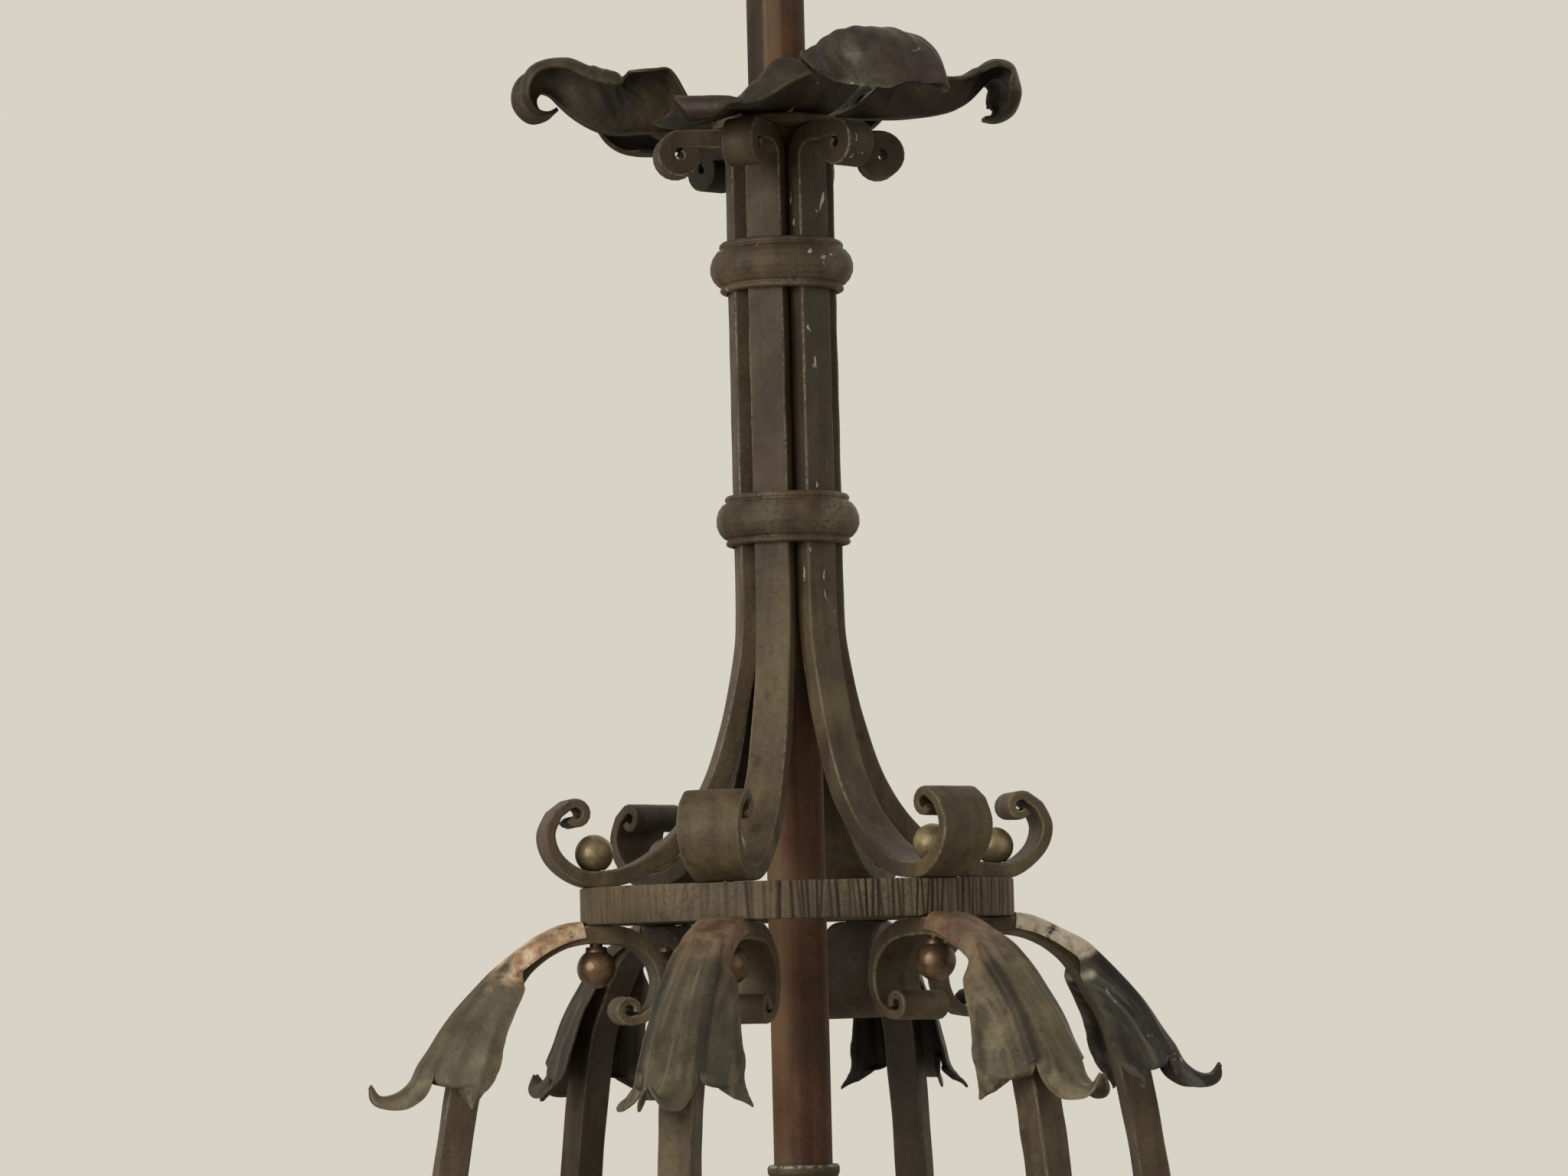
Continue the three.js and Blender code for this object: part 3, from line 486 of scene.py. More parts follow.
# The pipe's dirt colour also paints the shade on its left edge, and its worn colour the painted
# highlight; the wide rub band lets that highlight show with little grain.
pipe_brown = aged("tarnished pipe with painted light", [(0.34, "6b4a2c"), (0.43, "553318"), (0.5, "42230f"),
                                     (0.58, "301b10")],
                  "241f13", "83694a", metallic=0.12, rough=(0.55, 0.85), blotch=9.0,
                  run=(150.0, 150.0, 4.0), tint=("4c3f2b", 0.5), rub=(-0.6, 0.9))
bronze = aged("tarnished bronze", [(0.36, "c2ae86"), (0.46, "9c8a66"), (0.58, "6f6148")],
              "3a2e1f", "d8c8a6", metallic=0.45, rough=(0.34, 0.5), blotch=40.0)
bronze_brown = aged("brown bronze", [(0.36, "866a4f"), (0.46, "69523d"), (0.58, "46362a")],
                    "20160f", "a58a6c", metallic=0.55, rough=(0.3, 0.44), blotch=40.0)
print("finishes", len(bpy.data.materials))

# %% [markdown]
# ## Bars bent by the smith
# A stem bar and an arm are both a flat bar carried along a line in an upright plane.
# The line is a spline through a few rows of radius, height, width and thickness, close
# to the rows that the solid model uses. A rounded rectangle travels along that line, so
# the long edges catch the light as worn forged edges do.


# %% Bent bars
def spline(rows, count):
    """Centripetal Catmull-Rom through the rows: knots are the square roots of the chord
    lengths, and the cubic between two rows meets both slopes. Width and thickness run
    straight between rows."""
    rows = np.asarray(rows, float)
    p = rows[:, :2]
    p = np.vstack([2 * p[0] - p[1], p, 2 * p[-1] - p[-2]])
    gap = np.linalg.norm(np.diff(p, axis=0), axis=1) ** 0.5
    t = np.linspace(0, len(rows) - 1, count + 1)
    k = np.minimum(t.astype(int), len(rows) - 2)
    w = (t - k)[:, None]
    p0, p1, p2, p3 = p[k], p[k + 1], p[k + 2], p[k + 3]
    d0, d1, d2 = gap[k][:, None], gap[k + 1][:, None], gap[k + 2][:, None]
    m1 = ((p1 - p0) / d0 - (p2 - p0) / (d0 + d1) + (p2 - p1) / d1) * d1
    m2 = ((p2 - p1) / d1 - (p3 - p1) / (d1 + d2) + (p3 - p2) / d2) * d1
    curve = (p1 + m1 * w + (-3 * p1 + 3 * p2 - 2 * m1 - m2) * w ** 2
             + (2 * p1 - 2 * p2 + m1 + m2) * w ** 3)
    rest = rows[k, 2:] + (rows[k + 1, 2:] - rows[k, 2:]) * w
    return np.hstack([curve, rest])


def calmed(line, reach):
    """The table's widths and bends run straight from row to row; a running mean over
    reach rows on both sides takes the kinks out."""
    weights = np.bartlett(2 * reach + 3)[1:-1]
    weights = weights / weights.sum()
    padded = np.pad(line, ((reach, reach), (0, 0)), mode="reflect", reflect_type="odd")
    soft = np.stack([np.convolve(column, weights, "valid") for column in padded.T], 1)
    return np.hstack([line[:, :2], soft[:, 2:]])


def spiral(r, z, start, end, radius, width, thick, count):
    """A scroll: the angle and the radius both run evenly from start to end."""
    k = np.linspace(0, 1, count + 1)
    a = np.radians(start + (end - start) * k)
    reach = radius[0] + (radius[1] - radius[0]) * k
    return np.stack([r + reach * np.cos(a), z + reach * np.sin(a),
                     width[0] + (width[1] - width[0]) * k,
                     thick[0] + (thick[1] - thick[0]) * k], 1)


def evenly(rows, step):
    """The same line with its rows at equal lengths."""
    length = np.r_[0, np.linalg.norm(np.diff(rows[:, :2], axis=0), axis=1).cumsum()]
    at = np.linspace(0, length[-1], int(length[-1] / step) + 1)
    return np.stack([np.interp(at, length, rows[:, c]) for c in range(rows.shape[1])], 1)


def slope(line):
    """Unit direction of a line of points in the upright plane."""
    d = np.gradient(line[:, :2], axis=0)
    return d / np.linalg.norm(d, axis=1, keepdims=True)


def section(corner=6, wide=8, narrow=4):
    """A rounded rectangle as four signs and directions: for each point the side it
    belongs to (-1 to 1) and the direction from its corner's centre."""
    quarter = np.radians(np.linspace(0, 90, corner))
    sides, ways = [], []
    corners = np.array([(1, 1), (-1, 1), (-1, -1), (1, -1)])
    for k, here in enumerate(corners):
        a = quarter + k * np.pi / 2
        sides.append(np.tile(here, (corner, 1)))
        ways.append(np.stack([np.cos(a), np.sin(a)], 1))
        count = wide if k % 2 == 0 else narrow
        t = np.linspace(0, 1, count + 2)[1:-1, None]
        sides.append((1 - t) * here + t * corners[(k + 1) % 4])
        ways.append(np.tile([np.cos(a[-1]), np.sin(a[-1])], (count, 1)))
    sides.append(sides[0][:1])
    ways.append(ways[0][:1])
    return np.vstack(sides), np.vstack(ways)


# %% [markdown]
# The hammer leaves soft dents, and hands polish the long edges. So the section's corners
# get the wear field, and the dents move the whole skin by a fraction of a millimetre.

# %% A forged bar
SIDES, WAYS = section()


def forged(rows, seed, round_=1.3, depth=0.22):
    """The rounded rectangle along the line: across the bar is Y, through the bar is the
    line's normal. Both ends shrink a little and then to their middle point, so the skin
    is closed."""
    line = evenly(rows, 2.2)
    d = slope(line)
    w, t = line[:, 2:3], line[:, 3:4]
    c = np.minimum(round_, t * 0.42)
    x = SIDES[:, 0] * (w / 2 - c) + WAYS[:, 0] * c
    y = SIDES[:, 1] * (t / 2 - c) + WAYS[:, 1] * c
    grid = np.stack([line[:, :1] - d[:, 1:] * y, x, line[:, 1:2] + d[:, :1] * y], -1)
    grid = dented(grid, depth, 34, seed)
    edge = grid[[0, -1]]
    ends = edge.mean(1, keepdims=True)
    soft = ends + (edge - ends) * 0.9
    flat = np.broadcast_to(ends, edge.shape)
    grid = np.concatenate([flat[:1], soft[:1], grid, soft[1:], flat[1:]])
    corner = (np.abs(WAYS[:, 0]) * np.abs(WAYS[:, 1]) * 2)[None, :]
    wear_and_highlight = np.clip(corner * (0.55 + 0.5 * waves(grid, 60, seed + 7)), 0, 1)
    grime_and_shade = np.clip(0.35 * waves(grid, 45, seed + 3) - 0.1, 0, 1)
    return grid, {"wear_and_highlight": wear_and_highlight, "grime_and_shade": grime_and_shade * np.ones_like(wear_and_highlight)}


# %% [markdown]
# A stem bar starts in a tight curl at the top, bends over and runs down beside the
# pipe. Near the hoop it spreads outwards, gets wide and thin, and ends in a scroll.

# %% Stem bars
BAR_TOP = 413.0
BAR_R, BAR_W, BAR_T = 23.2, 20.0, 10.5
CURL_Z = BAR_TOP - 14
# Painted shade: the stem bars get darker towards the top, from 150 to 330 mm above the hoop.
TOP_SHADE_FROM, TOP_SHADE_FULL, TOP_SHADE = 150, 330, 0.62
stem_rows = np.vstack([
    spiral(56, CURL_Z, -248, 90, (5.8, 8.8), (18, 18), (9.2, 10.4), 44),
    spiral(BAR_R + 12, CURL_Z - 3.2, 90, 180, (12, 12), (19, BAR_W), (BAR_T, BAR_T), 20),
    spline([
        (BAR_R, 150, BAR_W, BAR_T), (24.2, 132, BAR_W, BAR_T), (27.4, 112, BAR_W, BAR_T),
        (34.4, 82.3, 20.5, 10.5), (43.5, 56, 21.5, 10.3), (55, 36.5, 23, 10),
        (69, 21.5, 25, 9.6), (84, 11, 27, 9.3), (97, 5.9, 29, 9), (106, 4.75, 30, 9),
        (116, 4.75, 31, 8.6), (125.8, 9, 32.5, 7.4), (134.4, 17.8, 34, 6.4),
        (137.2, 29, 35, 5.8), (133, 39.6, 35, 5.4)], 120),
    spiral(122.8, 39.4, 62, 325, (6.4, 4.2), (35, 35), (5.2, 4.2), 40),
])
for k in range(ARMS):
    grid, fields = forged(stem_rows, 20 + k)
    # Painted shade laid into the grime_and_shade field, rising with height.
    brown = TOP_SHADE * ease(grid[..., 2], TOP_SHADE_FROM, TOP_SHADE_FULL)
    fields["grime_and_shade"] = np.clip(fields["grime_and_shade"] + brown, 0, 1)
    piece = skin(f"stem_bar_{k + 1}.forged", turned_by(lifted(grid), SIXTH * k), fields)
    # The stem bar at the back takes the darker iron, a painted shade.
    dress(piece, f"stem_bar_{k + 1}", {2: iron_shaded, 5: iron_chipped}.get(k, iron))
print("stem bars", grid.shape)

# %% [markdown]
# ## Arms
# An arm starts as a roll under the hoop, climbs to the hoop's stud, and bows out and
# down to the hub. It is the same kind of bar, nearly square below the leaf. The two
# arms at the back, and the stem bar at the back, take a darker iron: painted shade,
# as little light reaches them.

# %% Arms
ARM_W, ARM_T, REACH = 18.5, 17.0, 200.0
HUB_Z, HUB_HALF, HUB_FLAT = -492.0, 13.0, 33.9
arm_rows = np.vstack([
    spiral(95.6, -66, 200, -95, (4.2, 6), (33, 33), (4.2, 5), 40),
    spline([
        (88.4, -70.6, 33, 5), (81.5, -65.4, 33, 5.2), (77.6, -54, 33, 5.6),
        (79.2, -41.5, 32.5, 6.6), (87, -31.5, 31.5, 8), (97, -26.6, 30, 9.6),
        (105, -25.5, 29, 10.2), (117, -25.2, 27, 9.6), (128.6, -27.6, 24, 9.4),
        (140.4, -33.2, 21, 9.8), (151.4, -40.8, 19.4, 11.6), (160, -50.2, ARM_W, 14.6),
        *[(r, z, ARM_W, ARM_T) for r, z in [
            (167.4, -60.6), (174, -70.6), (179.2, -84), (183.8, -102), (188.6, -127),
            (193.4, -157), (197.6, -190), (REACH, -226), (199, -264), (193, -304),
            (181, -344), (162, -384), (136, -422), (104, -456), (74, -478), (52, -490),
            (42, HUB_Z), (HUB_FLAT, HUB_Z)]]], 300),
])
for k in range(ARMS):
    grid, fields = forged(arm_rows, 60 + k, round_=1.6, depth=0.3)
    piece = skin(f"arm_{k + 1}.forged", turned_by(lifted(grid), SIXTH * k), fields)
    # The two arms at the back take the darker iron, a painted shade.
    dress(piece, f"arm_{k + 1}", iron_shaded if k in (1, 2) else iron)
print("arms", grid.shape)

# %% [markdown]
# ## Turned pieces
# Collars, balls, pipes, the finial and the cups are bodies of revolution. The profile
# is a short list of corners; each corner is rounded by a small arc, and the profile is
# then carried round the axis.


# %% Turned pieces
def rounded(profile, radius, count=5):
    """Each corner gives way to a short curve: the quadratic curve from a point before
    the corner to one behind it, with the corner as its handle."""
    p = np.asarray(profile, float)
    before, after = p[:-2] - p[1:-1], p[2:] - p[1:-1]
    lb = np.linalg.norm(before, axis=1, keepdims=True)
    la = np.linalg.norm(after, axis=1, keepdims=True)
    cut = np.minimum(np.minimum(lb, la) * 0.45, radius)
    a, b = p[1:-1] + before / lb * cut, p[1:-1] + after / la * cut
    t = np.linspace(0, 1, count)[None, :, None]
    arc = (1 - t) ** 2 * a[:, None] + 2 * t * (1 - t) * p[1:-1, None] + t ** 2 * b[:, None]
    return np.vstack([p[:1], arc.reshape(-1, 2), p[-1:]])


def filled(profile, step):
    """Points added on long straight stretches, so that dents and fields have room."""
    p = np.asarray(profile, float)
    length = np.linalg.norm(np.diff(p, axis=0), axis=1)
    count = np.maximum((length / step).astype(int), 1)
    k = np.repeat(np.arange(len(length)), count)
    first = np.repeat(np.r_[0, count.cumsum()[:-1]], count)
    w = ((np.arange(len(k)) - first) / count[k])[:, None]
    return np.vstack([p[k] * (1 - w) + p[k + 1] * w, p[-1:]])


def lathe(profile, sides=96):
    """Radius and height carried round the axis: x = r cos a, y = r sin a."""
    p = np.asarray(profile, float)
    a = np.linspace(0, 2 * np.pi, sides + 1)
    r, z = p[:, :1], p[:, 1:]
    return np.stack([r * np.cos(a), r * np.sin(a), z * np.ones_like(a)], -1)


def closed(profile):
    """A profile that doesn't touch the axis returns to its first point."""
    return [*profile, profile[0]]


def plain_fields(grid, seed, wear_and_highlight=0.25, dirt_and_shade=0.25):
    """Soft patches of wear and dirt."""
    return {"wear_and_highlight": np.clip(wear_and_highlight * (0.3 + waves(grid, 40, seed)), 0, 1),
            "grime_and_shade": np.clip(dirt_and_shade * (0.2 + waves(grid, 25, seed + 1)), 0, 1)}


def plain(name, node, grid, seed, material, wear_and_highlight=0.25, dirt_and_shade=0.25):
    """A grid as a piece with soft patches, dressed."""
    piece = skin(name, grid, plain_fields(grid, seed, wear_and_highlight, dirt_and_shade))
    dress(piece, node, material)
    return piece


def raised(profile, height):
    """A profile moved up by a height."""
    return np.asarray(profile, float) + np.array([0, height])


def turned(name, node, profile, material, sides, dent, seed, wear_and_highlight=0.25, at=(0, 0, RING_TOP),
           turn=0.0):
    """Turn, dent, move out to its place, turn about the Z axis and dress."""
    grid = dented(lathe(profile, sides), dent, 30, seed)
    fields = plain_fields(grid, seed, wear_and_highlight)
    grid = turned_by(grid + np.array(at, float), turn)
    dress(skin(name, grid, fields), node, material)


COLLAR = rounded(closed([
    (30.5, -14), (32.6, -14), (33.8, -13.4), (34.2, -12.2), (33.4, -10.8), (33.2, -10.2),
    (35.2, -9.4), (37.6, -6.6), (39.2, -2.6), (39.2, 1.6), (38, 5.4), (35.8, 8.6), (33.8, 9.8),
    (33.6, 10.4), (34.2, 11.2), (34, 12.6), (32.8, 13.8), (30.5, 13.8)]), 0.7)
for name, height, metal in (("lower_collar", 198.5, iron),
                            ("upper_collar", BAR_TOP - 75.3, iron_chipped)):
    turned(f"{name}.turned", name, filled(COLLAR, 1.5), metal, 160, 0.25, int(height),
           0.4, (0, 0, RING_TOP + height))
print("collars", len(COLLAR))

# %% [markdown]
# ## The hammered hoop
# The hoop's outer face carries upright chisel cuts a few millimetres apart. Each cut
# is a narrow dip in the radius; their places, depths and leans are random but seeded.

# %% Hoop
RING_R, RING_T, RING_H = 111.0, 14.0, 20.0


def apart(angle, place, whole=2 * np.pi):
    """How far an angle is from a place, wrapped to half a whole on either side."""
    return (angle - place + whole / 2) % whole - whole / 2


def hoop_grid(sides=2000, cuts=235):
    """Radius = plain profile minus the sum of all cuts; a cut is a bell curve over the
    angle whose middle leans a little with height."""
    rng = np.random.default_rng(8)
    inner, outer = RING_R - RING_T / 2, RING_R + RING_T / 2
    profile = filled(rounded([
        (inner, -RING_H / 2), (inner, -RING_H), (outer - 0.2, -RING_H), (outer, -RING_H + 1),
        (outer, -1), (outer - 0.2, 0), (inner, 0), (inner, -RING_H / 2)], 0.9, 4), 1.8)
    grid = lathe(profile, sides)
    angle = np.linspace(0, 2 * np.pi, sides + 1)[None, :]
    place = np.linspace(0, 2 * np.pi, cuts, endpoint=False) + rng.normal(0, 0.011, cuts)
    deep = rng.uniform(0.35, 1.2, cuts) * (0.25 + 0.75 * ease(np.cos(place + 0.8), 0.2, 0.75))
    wide = rng.uniform(0.005, 0.0085, cuts)
    lean = rng.normal(0, 0.006, cuts)
    height = profile[:, 1:] / (RING_H / 2) + 1
    dip = np.zeros((len(profile), sides + 1))
    for k in range(cuts):
        dip += deep[k] * bell(apart(angle, place[k] + lean[k] * height), wide[k])
    dip = np.minimum(dip, 1.3)
    face = np.clip((profile[:, :1] - (outer - 2.2)) / 2, 0, 1)
    grid[..., :2] *= (1 - dip * face / profile[:, :1])[..., None]
    fields = {"wear_and_highlight": np.clip(face * (0.6 - dip) * (0.4 + 0.5 * waves(grid, 50, 4)), 0, 1),
              "grime_and_shade": np.clip(dip * face * 1.2 + 0.12 * waves(grid, 30, 5), 0, 1)}
    return grid, fields


grid, fields = hoop_grid()
dress(skin("hammered_ring.cut", lifted(grid), fields, 50), "hammered_ring", hoop_iron)
print("hoop", grid.shape)

# %% [markdown]
# ## Ball nuts and ball bolts
# A bolt comes up from below through arm, hoop and scroll. Its head is a ball, and the
# nut on top is a smaller ball. Both have a short neck where they seat: the nut on the
# scroll's bar, the bolt a little under the arm.

# %% Balls
NUT_BALL, BOLT_BALL, NECK = 10.4, 10.7, 5.4
SCROLL_TOP, ARM_LOW, PLAY = 9.25, -31.0, 0.9
NUT_BASE, BOLT_BASE = SCROLL_TOP + FIT, ARM_LOW - PLAY
NUT_MID, BOLT_MID = NUT_BASE + NUT_BALL - 1.6, BOLT_BASE - BOLT_BALL - 1


def ball_side(radius, mid, start, end, count=40):
    """A circle's points from one angle to another."""
    a = np.radians(np.linspace(start, end, count))
    return [*zip(radius * np.cos(a), mid + radius * np.sin(a))]


nut = [(0, NUT_MID + 3), (3.8, NUT_MID + 3), (3.8, NUT_BASE), (NECK, NUT_BASE),
       *ball_side(NUT_BALL, NUT_MID, -55, 90)]
bolt = [(0, NUT_MID + 2), (3.5, NUT_MID + 2), (3.5, BOLT_BASE), (NECK, BOLT_BASE),
        (NECK + 0.3, BOLT_BASE - 0.8), *ball_side(BOLT_BALL, BOLT_MID, 56, -90)]
for k in range(ARMS):
    for name, profile, metal, dent, seed in (("ball_nut", nut, bronze, 0.06, 90),
                                             ("ball_bolt", bolt, bronze_brown, 0.08, 99)):
        turned(f"{name}_{k + 1}.turned", f"{name}_{k + 1}", profile, metal, 56, dent, seed + k,
               at=(RING_R, 0, RING_TOP), turn=SIXTH * k)
print("balls", 2 * ARMS)

# %% [markdown]
# ## Sheet leaves
# A leaf is cut from sheet, its veins are chased, and it is then folded over the arm.
# So its shape is worked out in two steps: a flat blank with a length and a width, and a
# fold that carries each width onto the arm's back and sides. Where two lobes part, the
# grid is simply not joined. The edges of the grid get a narrow wall.


# %% A sheet with thickness
def wall_sheet(name, mid, quads, thick, uv, fields, relief=None):
    """Each point moves half a thickness along its normal to both sides; every edge that
    only one face uses gets a wall. Relief moves both sides the same way."""
    a, b, c, d = (mid[quads[:, k]] for k in range(4))
    n = np.cross(c - a, d - b)
    normal = np.zeros_like(mid)
    for k in range(4):
        np.add.at(normal, quads[:, k], n)
    normal /= np.maximum(np.linalg.norm(normal, axis=1, keepdims=True), 1e-9)
    if relief is not None:
        mid = mid + normal * relief[:, None]
    half = normal * thick[:, None] / 2
    edges = np.concatenate([quads[:, [k, (k + 1) % 4]] for k in range(4)])
    key = np.sort(edges, axis=1)
    _, back, count = np.unique(key, axis=0, return_inverse=True, return_counts=True)
    rim = edges[count[back.reshape(-1)] == 1]
    size = len(mid)
    walls = np.stack([rim[:, 1], rim[:, 0], rim[:, 0] + size, rim[:, 1] + size], 1)
    faces = np.concatenate([quads, quads[:, ::-1] + size, walls])
    points = np.concatenate([mid + half, mid - half])
    fields = {key: np.tile(value, 2) for key, value in fields.items()}
    return make(name, points, faces, np.tile(uv, (2, 1)), fields, 48)


def weld(mid, quads):
    """Give points of neighbouring grids that lie on each other the same number."""
    _, first, back = np.unique(np.round(mid, 3), axis=0, return_index=True,
                               return_inverse=True)
    return first[back.reshape(-1)][quads]


# %% [markdown]
# ## Leaves on the arms
# Each leaf hugs the arch of its arm, widens, and splits into three lobes: two flaps that
# hang at the arm's sides and a hollow middle lobe whose tip is bent up. A row of RIDGE
# gives the radius and height of the leaf's back, half the blank's breadth, half the
# middle lobe's breadth and the angle of the fold. SEAM is the line the flaps turn to.

# %% Arm leaves
RIDGE = [
    (119.6, -18.8, 19, 5, 70), (129.4, -20.6, 19.5, 6.5, 74), (141, -25.4, 19.5, 8.5, 74),
    (153.4, -33.4, 20, 10.5, 68), (165.2, -43, 30, 12, 62), (176.4, -53.4, 36, 13, 61),
    (186.6, -64.4, 41, 14, 62), (195, -75.6, 44, 15, 62), (203, -87.4, 45, 17, 60),
    (211.4, -98.6, 43, 19, 58), (221, -106.6, 38, 17, 54), (229.6, -108.4, 32, 10, 50),
    (234.6, -103.4, 26, 1.2, 46)]
SEAM = [
    (119.6, -18.8), (129.4, -20.6), (141, -25.4), (153.4, -33.4), (165.2, -43),
    (176.4, -53.4), (186.4, -64.6), (193.4, -75.8), (197.4, -87.4), (199.8, -98),
    (200.4, -107), (199.6, -114.4), (198.2, -120.4)]
SPLIT, STRIP, LEAF_T = 0.7, 19.5, 1.8


def folded(a, turn, flat=7.0, bend=6.5):
    """Width a of the blank on the fold: flat on the arm's back, then round the corner by
    the angle turn, then straight down the side."""
    over = np.maximum(np.abs(a) - flat, 0)
    angle = np.minimum(over / bend, turn)
    rest = np.maximum(over - bend * turn, 0)
    x = np.minimum(np.abs(a), flat) + bend * np.sin(angle) + rest * np.cos(turn)
    return np.sign(a) * x, -bend * (1 - np.cos(angle)) - rest * np.sin(turn)


def placed(line, x, y):
    """Points beside a line in the upright plane: x across it, y along its normal."""
    d = slope(line)
    return np.stack([line[:, :1] - d[:, 1:] * y, x, line[:, 1:2] + d[:, :1] * y], -1)


def flap_edges(past, start, end, point):
    """Inner and outer edge of a flap behind the split. Both run together in a point at the
    share point of its breadth, or, with point 0, they end as a round tongue."""
    if point:
        tip = start + point * (end - start)
        return start + (tip - start) * past, tip + (end - tip) * (1 - past ** 1.7)
    half = (end - start) / 2 * (1 - 0.48 * ease(past, 0, 0.5)) * np.sqrt(1 - past ** 8)
    centre = (start + end) / 2 + 2 * past
    return centre - half, centre + half


def arm_leaf(flicks, points, groove, rows=120):
    """Three grids that share their rows: left flap, middle lobe, right flap. The blank
    stays a narrow strip at the hoop, then widens at once. The flaps' tips are flicked
    outwards."""
    u = np.linspace(0, 1, rows)[:, None]
    ridge, seam = calmed(spline(RIDGE, rows - 1), 3), spline(SEAM, rows - 1)
    turn = np.radians(ridge[:, 4:5])
    past = np.clip((u - SPLIT) / (1 - SPLIT), 0, 1)
    wide = np.minimum(ridge[:, 2:3], STRIP + 28 * ease(u, 0.28, 0.38))
    at_split, broad = (np.interp(SPLIT, u[:, 0], e) for e in (ridge[:, 3], wide[:, 0]))
    parting, cut = groove * ease(u, 0.18, 0.3) * (past <= 0.02), ease(past, 0, 0.1)

    def middle():
        """Folded over the arm down to the split, then hollow: part of a circle across."""
        v = np.linspace(-1, 1, 37)[None, :]
        half = ridge[:, 3:4]
        xf, yf = folded(v * half, turn)
        reach = np.maximum(half * 0.66, 1.0)
        xc, yc = reach * np.sin(v * half / reach), -reach * (1 - np.cos(v * half / reach))
        w = ease(past, 0, 0.3)
        relief = (1.5 * bell(v, 0.3) * ease(u, 0.1, 0.4) - parting * bell(1 - np.abs(v), 0.2)
                  - 0.5 * bell(np.abs(v) - 0.5, 0.12) * ease(u, 0.2, 0.45))
        # Worn metal along the cut edges; along the middle ridge the worn colour is also a painted
        # highlight.
        edge = np.maximum(bell(1 - np.abs(v), 0.1) * cut,
                          0.7 * bell(v, 0.12) * ease(u, 0.3, 0.45))
        return placed(ridge, xf + (xc - xf) * w, yf + (yc - yf) * w), relief, edge

    def flap(side, flick, point):
        """Folded down the arm's side, bulged, and carried over from the ridge's line to the
        seam's line behind the split."""
        k = np.linspace(0, 1, 29)[None, ::side]
        inner, outer = flap_edges(past, at_split, broad, point)
        inner = np.where(u < SPLIT, ridge[:, 3:4], inner)
        outer = np.where(u < SPLIT, wide, outer)
        bulge = np.sin(np.pi * k) * (0.4 + 2.4 * ease(u, 0.3, 0.6)) * (1 - past ** 3)
        x, y = folded(side * (inner + (outer - inner) * k), turn)
        kick = flick * past ** 3
        x = x + side * (3 * past ** 2 + kick + bulge * 0.8)
        y = y + bulge * 0.5 + 0.35 * kick
        w = 1 - (1 - ease(k, 0, 0.9)) * (1 - ease(past, 0, 0.4))
        grid = placed(ridge, x, y) * (1 - w[..., None]) + placed(seam, x, y) * w[..., None]
        relief = (1.0 * bell(k - 0.5, 0.13) * ease(u, 0.32, 0.5) - parting * bell(k, 0.13)
                  - 0.55 * bell(k - 0.28, 0.07) * ease(u, 0.32, 0.5)
                  - 0.55 * bell(k - 0.74, 0.07) * ease(u, 0.36, 0.55))
        return grid, relief * (1 - past ** 2), np.maximum(bell(1 - k, 0.1), bell(k, 0.07) * cut)

    return u, [flap(-1, flicks[0], points[0]), middle(), flap(1, flicks[1], points[1])]


def leaf_piece(name, turn, u, parts, gilt, seed):
    """Weld the three grids, give them their thickness and their fields."""
    grids = [grid for grid, _, _ in parts]
    starts = np.cumsum([0] + [grid.shape[0] * grid.shape[1] for grid in grids])
    quads = [faces_of(*grid.shape[:2]) + start for grid, start in zip(grids, starts)]
    mid = np.concatenate([grid.reshape(-1, 3) for grid in grids])
    along, relief, edge = (
        np.concatenate([np.broadcast_to(values, grid.shape[:2]).reshape(-1)
                        for grid, values in zip(grids, kind)])
        for kind in ([u] * 3, [part[1] for part in parts], [part[2] for part in parts]))
    vein = np.clip(-relief * 0.8, 0, 1)
    relief = relief + 0.35 * waves(mid, 22, seed)
    low, high, strength = gilt
    rub = strength * (1 - ease(along + 0.05 * waves(mid, 14, seed + 5), low, high))
    fields = {"wear_and_highlight": np.clip(0.4 * edge + 0.15 * waves(mid, 30, seed + 9), 0, 1),
              "grime_and_shade": np.clip(vein + 0.2 * waves(mid, 26, seed + 3) - 0.05, 0, 1),
              "gilt": np.clip(rub, 0, 1)}
    return wall_sheet(name, turned_by(lifted(mid), turn), weld(mid, np.concatenate(quads)),
                      LEAF_T * (1 - 0.45 * edge), np.stack([mid[:, 1] * MM, along * 0.2], 1),
                      fields, relief)


# %% [markdown]
# The leaves were once painted and gilt. What is left differs from leaf to leaf: bright
# polished metal near the hoop, olive bodies on the left, purple black on the right. The two
# leaves at the back take darker finishes, which are painted shade. The table LEAVES
# gives for each its finish, the gilt (from, to, strength), how far the two tips are
# flicked, where the flaps' points lie and how deep the lobes part.


# %% Leaf finish
LEAF_STOPS = (0.38, 0.48, 0.58)


